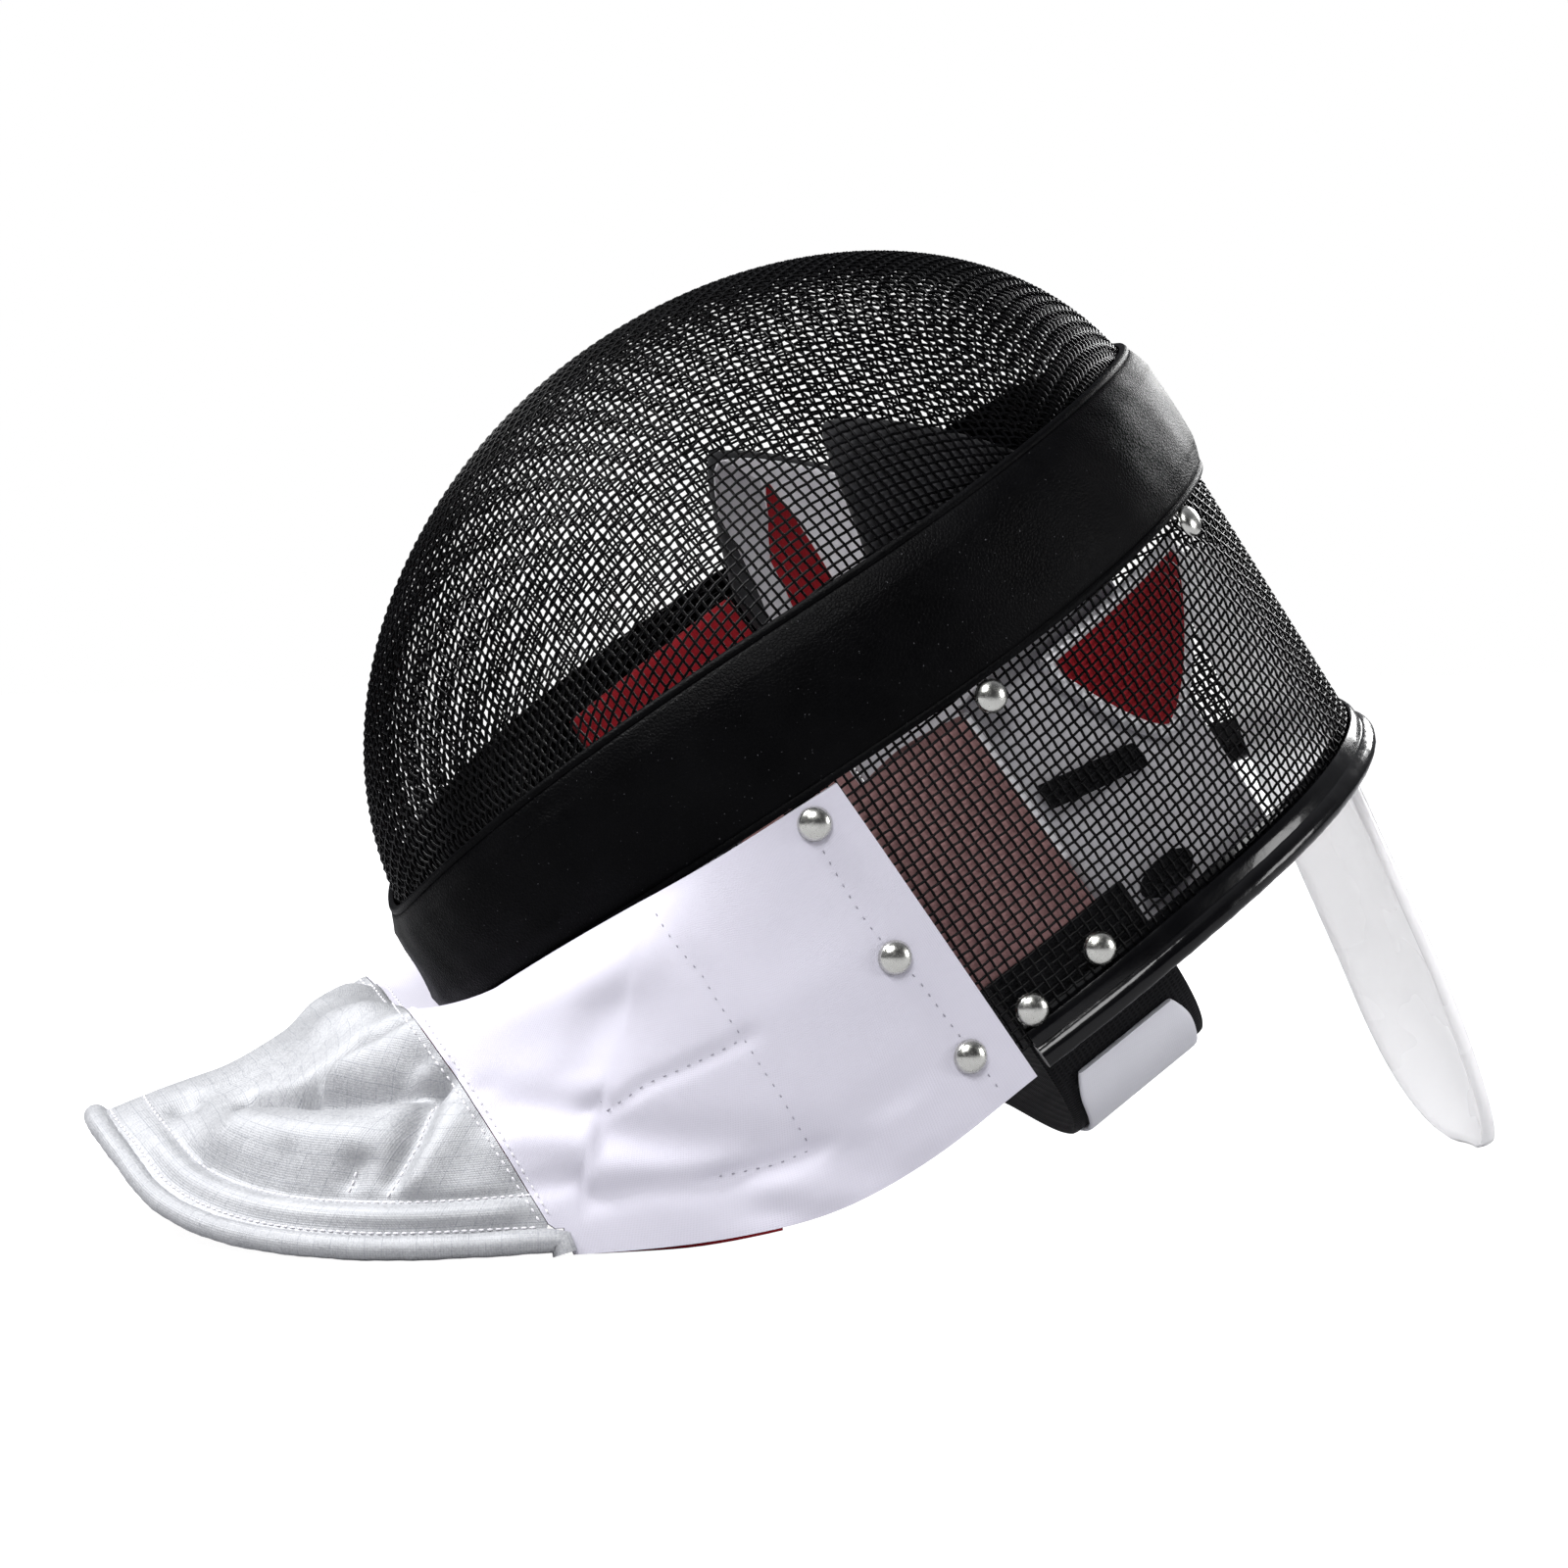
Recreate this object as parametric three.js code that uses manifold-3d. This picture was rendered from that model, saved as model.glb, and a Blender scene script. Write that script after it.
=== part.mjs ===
// Fencing mask resting tipped back on its bib and its rear tongue, in millimetres, +Z up, face towards -Y.
// Every piece is drawn in the mask's own frame: x to the wearer's left, y along the trim band from chin
// to crown, z forward out of the face. The outer group tips that frame back and sets it on the floor.
import * as THREE from "three";
import Module from "manifold-3d";

const wasm = await Module();
wasm.setup();
const { Manifold, Mesh: SolidMesh } = wasm;

const DEG = Math.PI / 180;
const { cos, sin, sqrt, abs, min, max, PI } = Math;

// How far the chin to crown line leans up from the floor, degrees.
const TILT = 36.1;

// Wire body: reach of the outer surface below, above and beside the middle, and its foremost point.
const CHIN_REACH = 143.5;
const CROWN_REACH = 138;
const SIDE_REACH = 97;
const APEX = 121;
const CHIN_BASE = 1;
const CROWN_BASE = 17;
const SIDE_BASE = 10;
const CHIN_SLANT = 0.26;
const CROWN_SLANT = -0.045;
const MESH_WALL = 2;

// Trim band that covers the joint between the front and rear mesh.
const BAND_FRONT = 22;
const BAND_REAR = 22;
const BAND_SIDE_EXTRA = 2.5;
const BAND_CHIN_CUT = 5.5;
const BAND_BOW = 11;
const BAND_SKEW = 5;
const BAND_CROWN_LEAN = 4;
const BAND_WALL = 2;
const BAND_LIFT = 2.2;
const BAND_HUG = 0.4;
const JOINT_SETBACK = 16;

// Rear mesh and its rim.
const REAR_FROM = 71;
const RIM_SIDE = -106.5;
const RIM_BACK = -111;
const PIPING_RADIUS = 3.9;

// Bib: a collar from the band to a hem, with its rear edges at this angle from the chin.
const BIB_ANGLE = 78.2;
const BIB_WALL = 2.4;
const BIB_GAP = 0.8;
const BIB_CHIN_DROP = 3.4;
const BIB_PUFF = 3;
const BIB_CREST = 10;
const BIB_CREST_ANGLE = 50;
const BIB_LOBE = 3.5;
const BIB_LOBE_STEP = 20;
const LINING_WALL = 1;
const LINING_GAP = 0.6;
const LINING_ANGLE = 66;
const SEAM_Y = -159.5;
const SEAM_LEAN = 0.12;
const SEAM_GAP = 0.3;
const BINDING_ANGLE = 54;
const BINDING_RADIUS = 3.4;

// Hem of the bib on one side: angle from the chin and the hem point at that angle.
const HEM = [
  { angle: 0, x: 0, y: -252.5, z: 25.5 },
  { angle: 10, x: 23, y: -251.5, z: 16 },
  { angle: 20, x: 47, y: -249, z: 0.5 },
  { angle: 30, x: 71, y: -237, z: -16 },
  { angle: 40, x: 90, y: -214.5, z: -35 },
  { angle: 50, x: 99, y: -183.5, z: -57 },
  { angle: 58, x: 101, y: -153, z: -78.5 },
  { angle: 64, x: 100, y: -125.5, z: -95.5 },
  { angle: 69, x: 98.5, y: -100, z: -107 },
  { angle: 73.5, x: 97, y: -70.5, z: -112.5 },
  { angle: BIB_ANGLE, x: 95.2, y: -33.5, z: -113.5 },
];

// Rear tongue: centre line, half width and depth of the cup at stations along it.
const TONGUE_WALL = 2.6;
const TONGUE = [
  { z: -45.5, y: 131.6, half: 31, cup: 9 },
  { z: -84, y: 128.5, half: 34, cup: 8.5 },
  { z: -121.5, y: 121.5, half: 36.5, cup: 8 },
  { z: -159, y: 115, half: 38, cup: 8 },
  { z: -192, y: 108.5, half: 38, cup: 8 },
  { z: -218, y: 101.5, half: 36, cup: 8 },
  { z: -237, y: 95, half: 30, cup: 8 },
  { z: -249, y: 90, half: 20, cup: 8 },
  { z: -254, y: 87.5, half: 7, cup: 8 },
];

// Elastic strap across the back: path in the x z plane on one side, from the centre to the sewn end.
const STRAP_WIDTH = 49;
const STRAP_Y = -4;
const STRAP_WALL = 2;
const STRAP = [
  { x: 0, z: -144 },
  { x: 28, z: -146 },
  { x: 53, z: -146 },
  { x: 71, z: -141.5 },
  { x: 81, z: -132.5 },
  { x: 86.5, z: -122 },
  { x: 89, z: -112 },
  { x: 90.6, z: -102.5 },
  { x: 91.6, z: -93.5 },
  { x: 91.8, z: -86 },
];

// White patch sewn over the bend of the strap on each side.
const PATCH_WIDTH = 41;
const PATCH_WALL = 1.6;
const PATCH_GAP = 0.4;
const PATCH_FROM = 0.66;
const PATCH_TO = 0.86;

// Dome rivets on one side, through the wire at a place on the body, or through the bib at a place on it.
const RIVET_RADIUS = 4.8;
const RIVET_HEIGHT = 3.2;
const RIVET_SEAT = 0.3;
const WIRE_RIVETS = [
  { name: "rivet_strap_low", y: -19.5, z: -98 },
  { name: "rivet_strap_high", y: 3, z: -96.3 },
  { name: "rivet_band_side", y: 20, z: -19.9 },
  { name: "rivet_band_crown", y: 109.5, z: -22.6 },
];
const BIB_RIVETS = [
  { name: "rivet_bib_front", angle: 74.2, share: 0.94 },
  { name: "rivet_bib_middle", angle: 75.4, share: 0.515 },
  { name: "rivet_bib_rear", angle: 76.4, share: 0.165 },
];

// Padded liner pieces on one side: outline from and to in y, then in z; depth below the wire and thickness;
// share of the height lost towards the ends, and where along the piece it is highest.
const PADS = [
  { name: "cheek_pad", slot: "red", outline: [-59, 12.5, 1, 24.5], wall: [2.8, 6], peak: 0, tip: 0.5 },
  { name: "temple_pad", slot: "pad", outline: [14, 78, 3, 70], wall: [2.8, 9], peak: 0.7, tip: 0.38 },
  { name: "side_panel", slot: "pink", outline: [-31.5, 12, -84, -17], wall: [2.8, 6], peak: 0.05, tip: 0.5 },
  { name: "rear_pad", slot: "pad", outline: [13.5, 80, -104.5, -16], wall: [6.2, 7], peak: 0.03, tip: 0.5 },
  { name: "leaf_pad", slot: "red", outline: [103, 42, -23.5, -63], wall: [2.8, 3], peak: 0.85, tip: 0.64 },
  { name: "grip_tab", slot: "tab", outline: [17, 50.5, -62, -54], wall: [2.7, 2.8], peak: 0, tip: 0.5 },
  { name: "grip_spot", slot: "tab", outline: [25, 46, -103, -93.5], wall: [2.7, 2.8], peak: 0, tip: 0.5 },
];

const smooth = (v) => {
  const k = min(1, max(0, v));
  return k * k * (3 - 2 * k);
};
const mix = (a, b, k) => a + (b - a) * k;

// Reach of the body in one direction at height z: an ellipse over the base, a slanted wall under it.
function reach(z, base, size, slant) {
  if (z < base) return size + slant * (base - z);
  return size * sqrt(max(0, 1 - ((z - base) / (APEX - base)) ** 2));
}

// A point on the outer wire surface: angle from the chin towards +x, and height forward.
function body(angle, z) {
  const c = cos(angle);
  const chin = reach(z, CHIN_BASE, CHIN_REACH, CHIN_SLANT);
  const crown = reach(z, CROWN_BASE, CROWN_REACH, CROWN_SLANT);
  const along = c > 0 ? chin : crown;
  return new THREE.Vector3(reach(z, SIDE_BASE, SIDE_REACH, 0) * sin(angle), -along * c, z);
}

// Rounded measure of how far round from the chin or crown an angle lies, 0 there and 1 at the sides.
const aside = (angle) => (sqrt(sin(angle) ** 2 + 0.04) - 0.2) / (sqrt(1.04) - 0.2);

// Middle line of the band, bowed forward at the sides and more so below than above, and its two edges.
const bandLine = (angle) => {
  const bow = aside(angle) * (BAND_BOW + 2 * BAND_SKEW * cos(angle));
  return bow + BAND_CROWN_LEAN * smooth(-cos(angle));
};
const bandFrontEdge = (angle) => bandLine(angle) + BAND_FRONT;
const bandRearEdge = (angle) => {
  const extra = BAND_SIDE_EXTRA * sin(angle) ** 2 - BAND_CHIN_CUT * max(0, cos(angle)) ** 3;
  return bandLine(angle) - BAND_REAR - extra;
};

// Rim of the rear mesh: level along the sides, further back behind the crown.
const rimLine = (angle) => mix(RIM_SIDE, RIM_BACK, smooth((-cos(angle) - 0.1) / 0.9));

// The angle at which the body stands at a given y on its parallel rear part.
const angleAt = (y) => Math.acos(y > 0 ? -y / CROWN_REACH : -y / CHIN_REACH);

// A surface moved along its own normal.
function offset(surface, distance) {
  const e = 1e-3;
  return (u, v) => {
    const at = surface(u, v);
    const du = surface(u + e, v).sub(surface(u - e, v));
    const dv = surface(u, v + e).sub(surface(u, v - e));
    const d = typeof distance === "number" ? distance : distance(u, v);
    return at.add(du.cross(dv).normalize().multiplyScalar(d));
  };
}

// The outer wire surface by share of the turn and height forward.
const wireAt = (u, v) => body(2 * PI * u, v);

// A closed wall between two surfaces over the same unit square, joined round when loop is set,
// and drawn to a single point at v = 1 when a tip is given.
function wall(outer, inner, nu, nv, loop = false, tips = null) {
  const points = [];
  const faces = [];
  const cols = loop ? nu : nu + 1;
  const rows = tips ? nv : nv + 1;
  const put = (p) => points.push(p.x, p.y, p.z) / 3 - 1;
  const layer = (surface) => {
    const grid = [];
    for (let j = 0; j < rows; j++) {
      grid.push([]);
      for (let i = 0; i < cols; i++) grid[j].push(put(surface(i / nu, j / nv)));
    }
    return (i, j) => grid[j][i % cols];
  };
  const quad = (a, b, c, d) => faces.push(a, b, c, a, c, d);
  const O = layer(outer);
  const I = layer(inner);
  for (let i = 0; i < nu; i++) {
    for (let j = 0; j < rows - 1; j++) {
      quad(O(i, j), O(i + 1, j), O(i + 1, j + 1), O(i, j + 1));
      quad(I(i, j), I(i, j + 1), I(i + 1, j + 1), I(i + 1, j));
    }
    quad(O(i + 1, 0), O(i, 0), I(i, 0), I(i + 1, 0));
    if (!tips) quad(O(i, nv), O(i + 1, nv), I(i + 1, nv), I(i, nv));
  }
  if (!loop) {
    for (let j = 0; j < rows - 1; j++) {
      quad(O(0, j), O(0, j + 1), I(0, j + 1), I(0, j));
      quad(O(nu, j + 1), O(nu, j), I(nu, j), I(nu, j + 1));
    }
  }
  if (tips) {
    const top = put(tips[0]);
    const low = put(tips[1]);
    for (let i = 0; i < nu; i++) {
      faces.push(O(i, rows - 1), O(i + 1, rows - 1), top);
      faces.push(I(i, rows - 1), low, I(i + 1, rows - 1));
    }
  }
  const geometry = new THREE.BufferGeometry();
  geometry.setAttribute("position", new THREE.Float32BufferAttribute(points, 3));
  geometry.setIndex(faces);
  return geometry;
}

// Linear reading of a table by one of its columns.
function readTable(rows, key, at, column) {
  let k = 1;
  while (k < rows.length - 1 && at > rows[k][key]) k++;
  const share = (at - rows[k - 1][key]) / (rows[k][key] - rows[k - 1][key]);
  return mix(rows[k - 1][column], rows[k][column], share);
}

// Smooth curve through the columns of a table.
const curveOf = (rows, point) => new THREE.CatmullRomCurve3(rows.map(point), false, "centripetal");

// Solid of a geometry for cutting, and back.
function solid(geometry) {
  const triVerts = new Uint32Array(geometry.index.array);
  const vertProperties = new Float32Array(geometry.getAttribute("position").array);
  return new Manifold(new SolidMesh({ numProp: 3, vertProperties, triVerts }));
}

function surfaceOf(made) {
  const mesh = made.getMesh();
  const geometry = new THREE.BufferGeometry();
  geometry.setAttribute("position", new THREE.BufferAttribute(mesh.vertProperties, mesh.numProp));
  geometry.setIndex(new THREE.BufferAttribute(mesh.triVerts, 1));
  return geometry;
}

const COLOURS = {
  wire: 0x1b1b1d,
  trim: 0x161617,
  rubber: 0x0e0e0f,
  white: 0xe6e4ee,
  lame: 0x8d8f94,
  red: 0x8a1020,
  pink: 0xb0848a,
  pad: 0xd8d5d8,
  tab: 0x141414,
  plastic: 0xeceaf0,
  chrome: 0xc8c9cc,
};

const mask = new THREE.Group();
function add(name, geometry, slot) {
  geometry.computeVertexNormals();
  const material = new THREE.MeshStandardMaterial({ color: COLOURS[slot], roughness: 0.6 });
  const mesh = new THREE.Mesh(geometry, material);
  mesh.name = name;
  mask.add(mesh);
  return mesh;
}

// Front mesh: the dome from under the band to the apex.
const dome = (u, v) => {
  const angle = 2 * PI * u;
  const foot = bandLine(angle) - JOINT_SETBACK;
  return body(angle, foot + (APEX - foot) * sin((v * PI) / 2));
};
const domeTips = [new THREE.Vector3(0, 0, APEX), new THREE.Vector3(0, 0, APEX - MESH_WALL)];
add("front_mesh", wall(dome, offset(dome, -MESH_WALL), 40, 11, true, domeTips), "wire");

// Rear mesh: from the rim to the joint under the band, open below between the bib's rear edges.
const rear = (u, v) => {
  const angle = mix(REAR_FROM, 360 - REAR_FROM, u) * DEG;
  return body(angle, mix(rimLine(angle), bandLine(angle) - JOINT_SETBACK - 0.5, v));
};
add("rear_mesh", wall(rear, offset(rear, -MESH_WALL), 36, 4), "wire");

// Trim band: a shallow channel that lies over the joint and over the top edge of the bib.
const bandAt = (u, v) => {
  const angle = 2 * PI * u;
  return body(angle, mix(bandRearEdge(angle), bandFrontEdge(angle), v));
};
const bandLift = (u, v) => mix(BAND_HUG, BAND_LIFT, smooth(min(v, 1 - v) / 0.2));
const bandTop = offset(bandAt, (u, v) => bandLift(u, v) + BAND_WALL);
add("trim_band", wall(bandTop, offset(bandAt, bandLift), 48, 5, true), "trim");

// Rim piping: a rolled cord over the edge of the rear mesh.
function cord(points, radius, steps, sides) {
  const circle = new THREE.Shape();
  circle.absarc(0, 0, radius, 0, 2 * PI, false);
  const path = new THREE.CatmullRomCurve3(points, false, "centripetal");
  return new THREE.ExtrudeGeometry(circle, { steps, extrudePath: path, curveSegments: sides });
}
const rimPoints = [];
for (let k = 0; k <= 28; k++) {
  const angle = mix(REAR_FROM + 9.5, 350.5 - REAR_FROM, k / 28) * DEG;
  rimPoints.push(body(angle, rimLine(angle) - PIPING_RADIUS - 0.3));
}
add("rim_piping", cord(rimPoints, PIPING_RADIUS, 44, 4), "rubber");

// Bib surface from hem to band, puffed out in front and pleated towards the hem.
const hemAt = (angle) => {
  const a = min(BIB_ANGLE + 1, abs(angle));
  const p = new THREE.Vector3();
  p.set(hemColumn("x", a) * Math.sign(angle), hemColumn("y", a), hemColumn("z", a));
  return p;
};
function hemColumn(column, a) {
  const n = HEM.length;
  let k = 1;
  while (k < n - 1 && a > HEM[k].angle) k++;
  const row = (i) => HEM[min(n - 1, max(0, i))];
  const mirrored = column === "x" ? -1 : 1;
  const before = k - 2 < 0 ? { angle: -HEM[1].angle, [column]: mirrored * HEM[1][column] } : row(k - 2);
  const [p0, p1, p2, p3] = [before, row(k - 1), row(k), row(k + 1)];
  const span = p2.angle - p1.angle;
  const m1 = ((p2[column] - p0[column]) / (p2.angle - p0.angle)) * span;
  const last = p3 === p2;
  const m2 = last ? p2[column] - p1[column] : ((p3[column] - p1[column]) / (p3.angle - p1.angle)) * span;
  const s = (a - p1.angle) / span;
  const s2 = s * s;
  const s3 = s2 * s;
  const from = (2 * s3 - 3 * s2 + 1) * p1[column] + (s3 - 2 * s2 + s) * m1;
  return from + (3 * s2 - 2 * s3) * p2[column] + (s3 - s2) * m2;
}
const bibAngle = (u) => mix(-BIB_ANGLE, BIB_ANGLE, u);
const hemTrim = (angle) => (2 * BINDING_RADIUS + 0.8) * smooth((BINDING_ANGLE + 4 - abs(angle)) / 3);
const bibFlat = (u, v) => {
  const angle = bibAngle(u);
  const drop = BIB_CHIN_DROP * smooth((74 - abs(angle)) / 22);
  const top = offset(wireAt, drop)(angle / 360, bandRearEdge(angle * DEG) - 0.6);
  const hem = hemAt(angle);
  const low = hemTrim(angle) / hem.distanceTo(top);
  return hem.lerp(top, mix(low, 1, v));
};
const bibPuff = (u, v) => {
  const angle = bibAngle(u);
  const front = smooth((BIB_ANGLE - 14 - abs(angle)) / 24);
  const belly = BIB_PUFF * sin(PI * min(1, max(0, v))) * (1.4 - v);
  const ahead = smooth((BIB_CREST_ANGLE - abs(angle)) / 40);
  const crest = BIB_CREST * ahead * smooth(v / 0.4) * smooth((1 - v) / 0.25);
  const lobes = BIB_LOBE * sin((PI * angle) / BIB_LOBE_STEP) ** 2 * sin(PI * min(1, max(0, v * 1.25))) ** 2;
  return (belly + crest + lobes) * front;
};
const bib = offset(bibFlat, bibPuff);
const bibShell = wall(offset(bib, BIB_GAP + BIB_WALL), offset(bib, BIB_GAP), 40, 7);
const bibSolid = solid(bibShell);
const tilt = sqrt(1 + SEAM_LEAN ** 2);
const above = bibSolid.trimByPlane([0, 1 / tilt, -SEAM_LEAN / tilt], SEAM_Y / tilt + SEAM_GAP / 2);
const below = bibSolid.trimByPlane([0, -1 / tilt, SEAM_LEAN / tilt], -SEAM_Y / tilt + SEAM_GAP / 2);
add("bib_collar", surfaceOf(above), "white");
add("bib_front", surfaceOf(below), "lame");

// Lining: a thin sheet inside the bib, showing just below the hem at the sides.
const liningAt = (u, v) => {
  const angle = mix(-LINING_ANGLE, LINING_ANGLE, u);
  const low = mix(0.03, -0.008, smooth((abs(angle) - 56) / 6));
  return bib((angle / BIB_ANGLE + 1) / 2, mix(low, 0.9, v));
};
const lining = wall(offset(liningAt, -LINING_GAP), offset(liningAt, -LINING_GAP - LINING_WALL), 26, 4);
add("bib_lining", lining, "red");

// Binding rolled over the hem of the silver front.
const bindingPoints = [];
for (let k = -20; k <= 20; k++) {
  const u = (((k / 20) * BINDING_ANGLE) / BIB_ANGLE + 1) / 2;
  const edge = offset(bib, BIB_GAP + BIB_WALL / 2)(u, 0);
  const down = edge.clone().sub(bib(u, 0.05)).normalize();
  bindingPoints.push(edge.addScaledVector(down, BINDING_RADIUS + 0.8));
}
add("hem_binding", cord(bindingPoints, BINDING_RADIUS, 48, 4), "lame");

// Rear tongue: a cupped leaf with a rounded end.
const tongueRows = [...TONGUE].reverse();
const tongueCurve = curveOf(TONGUE, (r) => new THREE.Vector3(0, r.y, r.z));
const tongue = (u, v) => {
  const p = tongueCurve.getPoint(min(1, max(0, v)));
  const half = readTable(tongueRows, "z", p.z, "half");
  const cup = readTable(tongueRows, "z", p.z, "cup");
  const across = half * (2 * u - 1);
  return new THREE.Vector3(across, p.y - cup * (across / 33) ** 2, p.z);
};
add("tongue", wall(offset(tongue, TONGUE_WALL / 2), offset(tongue, -TONGUE_WALL / 2), 6, 18), "plastic");

// Elastic strap across the back, and the patch over its bend on each side.
const strapRows = [...STRAP].reverse().map((r) => ({ x: -r.x, z: r.z })).concat(STRAP.slice(1));
const strapCurve = curveOf(strapRows, (r) => new THREE.Vector3(r.x, 0, r.z));
const strapAt = (width, from, to) => (u, v) => {
  const p = strapCurve.getPointAt(min(1, max(0, mix(from, to, u))));
  return new THREE.Vector3(p.x, STRAP_Y + (v - 0.5) * width, p.z);
};
const strap = strapAt(STRAP_WIDTH, 0, 1);
add("strap", wall(offset(strap, STRAP_WALL / 2), offset(strap, -STRAP_WALL / 2), 40, 1), "tab");
const patchLow = STRAP_WALL / 2 + PATCH_GAP;
for (const [mark, from, to] of [["l", PATCH_FROM, PATCH_TO], ["r", 1 - PATCH_TO, 1 - PATCH_FROM]]) {
  const patch = strapAt(PATCH_WIDTH, from, to);
  const walls = wall(offset(patch, -patchLow), offset(patch, -patchLow - PATCH_WALL), 8, 1);
  add("strap_patch_" + mark, walls, "white");
}

// A pad hugging the inside of the body between two heights, pillowed towards its edges.
function padWall(pad, side) {
  const [y0, y1, z0, z1] = pad.outline;
  const [deep, thick] = pad.wall;
  const at = (u, v) => {
    const y = mix(y0, y1, u);
    const off = u < pad.tip ? 1 - u / pad.tip : (u - pad.tip) / (1 - pad.tip);
    const peak = 1 - pad.peak * max(0, off) ** 1.5;
    const angle = angleAt(y);
    const z = mix(z0, mix(z0, z1, peak), v);
    const p = body(angle, z);
    return new THREE.Vector3(side * p.x, p.y, p.z);
  };
  const pillow = (u, v) => 0.35 + 0.65 * sqrt(max(0, 1 - max(abs(2 * u - 1), abs(2 * v - 1)) ** 4));
  const middle = deep + thick / 2;
  const rise = (sign) => (u, v) => side * (-middle + (sign * thick * pillow(u, v)) / 2);
  return wall(offset(at, rise(side)), offset(at, rise(-side)), 6, 4);
}
for (const [mark, side] of [["l", 1], ["r", -1]]) {
  for (const pad of PADS) add(pad.name + "_" + mark, padWall(pad, side), pad.slot);
}

// Dome rivets, mirrored.
const rivetProfile = [new THREE.Vector2(0, 0), new THREE.Vector2(RIVET_RADIUS, 0)];
for (let k = 0; k <= 3; k++) {
  const a = (k / 3) * 90 * DEG;
  rivetProfile.push(new THREE.Vector2(RIVET_RADIUS * cos(a), 0.5 + (RIVET_HEIGHT - 0.5) * sin(a)));
}
rivetProfile[rivetProfile.length - 1].x = 0;
const outward = (surface) => (u, v) => offset(surface, 1)(u, v).sub(surface(u, v));
const seats = WIRE_RIVETS.map((r) => {
  const u = angleAt(r.y) / (2 * PI);
  return { name: r.name, at: offset(wireAt, RIVET_SEAT)(u, r.z), normal: outward(wireAt)(u, r.z) };
});
for (const r of BIB_RIVETS) {
  const u = (r.angle / BIB_ANGLE + 1) / 2;
  const at = offset(bib, BIB_GAP + BIB_WALL + RIVET_SEAT)(u, r.share);
  seats.push({ name: r.name, at, normal: outward(bib)(u, r.share) });
}
for (const { name, at, normal } of seats) {
  for (const [mark, side] of [["l", 1], ["r", -1]]) {
    const mesh = add(name + "_" + mark, new THREE.LatheGeometry(rivetProfile, 10), "chrome");
    const axis = new THREE.Vector3(side * normal.x, normal.y, normal.z);
    mesh.quaternion.setFromUnitVectors(new THREE.Vector3(0, 1, 0), axis);
    mesh.position.set(side * at.x, at.y, at.z);
  }
}

const part = new THREE.Group();
part.add(mask);
mask.rotation.x = TILT * DEG;
part.updateMatrixWorld(true);
const box = new THREE.Box3().setFromObject(part, true);
mask.position.set(0, -(box.min.y + box.max.y) / 2, -box.min.z);

export default part;
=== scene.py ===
import math

import bpy
import numpy as np
from mathutils import Matrix

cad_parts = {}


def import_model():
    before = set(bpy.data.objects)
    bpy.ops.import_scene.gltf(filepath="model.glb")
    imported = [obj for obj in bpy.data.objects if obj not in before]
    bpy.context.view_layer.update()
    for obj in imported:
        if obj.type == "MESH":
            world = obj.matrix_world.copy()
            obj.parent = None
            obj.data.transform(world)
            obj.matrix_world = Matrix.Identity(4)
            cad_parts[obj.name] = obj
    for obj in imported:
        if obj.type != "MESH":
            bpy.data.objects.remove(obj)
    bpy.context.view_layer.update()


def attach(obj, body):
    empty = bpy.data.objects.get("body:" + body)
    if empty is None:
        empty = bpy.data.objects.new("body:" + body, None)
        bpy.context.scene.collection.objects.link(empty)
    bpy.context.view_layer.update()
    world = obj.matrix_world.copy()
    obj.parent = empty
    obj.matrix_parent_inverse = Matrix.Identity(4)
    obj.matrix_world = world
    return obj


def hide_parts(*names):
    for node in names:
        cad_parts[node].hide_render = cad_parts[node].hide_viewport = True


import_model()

# Sizes in millimetres and degrees in the mask's own frame: x to the wearer's left, y from chin to crown along
# the trim band, z forward out of the face. Down to the seam, and in the tables, they are those of the solids.
TILT = 36.1
MASK_AT = (-0.932, 154.103)
CHIN_REACH, CROWN_REACH, SIDE_REACH, APEX = 143.5, 138.0, 97.0, 121.0
CHIN_BASE, CROWN_BASE, SIDE_BASE = 1.0, 17.0, 10.0
CHIN_SLANT, CROWN_SLANT = 0.26, -0.045
BAND_FRONT, BAND_REAR, BAND_SIDE_EXTRA, BAND_CHIN_CUT = 22.0, 22.0, 2.5, 5.5
BAND_BOW, BAND_SKEW, BAND_CROWN_LEAN = 11.0, 5.0, 4.0
BAND_LIFT, BAND_HUG = 2.2, 0.4
REAR_FROM, RIM_SIDE, RIM_BACK, PIPING_RADIUS = 71.0, -106.5, -111.0, 3.9
BIB_ANGLE, BIB_WALL, BIB_GAP, BIB_CHIN_DROP = 78.2, 2.4, 0.8, 3.4
BIB_PUFF, BIB_CREST = 3.0, 10.0
LINING_ANGLE, LINING_GAP, LINING_WALL = 66.0, 0.6, 1.0
SEAM_Y, SEAM_LEAN = -159.5, 0.12
BINDING_RADIUS, BINDING_GAP, BINDING_ANGLE, BINDING_TUCK, BINDING_RAISE = 3.4, 0.8, 54.2, 1.2, 0.5
NOTCH_ANGLE, NOTCH_RAMP = 54.6, 0.8
# Shares from hem to band: inner stitch row, gap at the seam, lower edge of the silver sheet.
HEM_ROW_SHARE, SEAM_GAP, SILVER_FROM = 0.107, 0.0016, -0.026
LINING_SAG = 3.8
LIP_BELOW, LIP_ABOVE, INNER_LIP_EXTRA = 5.5, 4.2, 2.6
WIRE, PITCH, WIRE_SIDES, INSET = 0.86, 2.95, 5, 1.0
# Camera: turn towards the chin, lift and roll in degrees, distance, aim from the mask's place; the photo's
# millimetres a pixel at the aim and its width in pixels, the sensor's width.
VIEW_TURN, VIEW_LIFT, VIEW_ROLL, VIEW_DISTANCE = 13.924, 2.483, -0.592, 980
VIEW_AIM, PIXEL, PICTURE, SENSOR = (-8.154, -32.065), 0.30, 1600, 36.0
DEG = math.pi / 180
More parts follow.
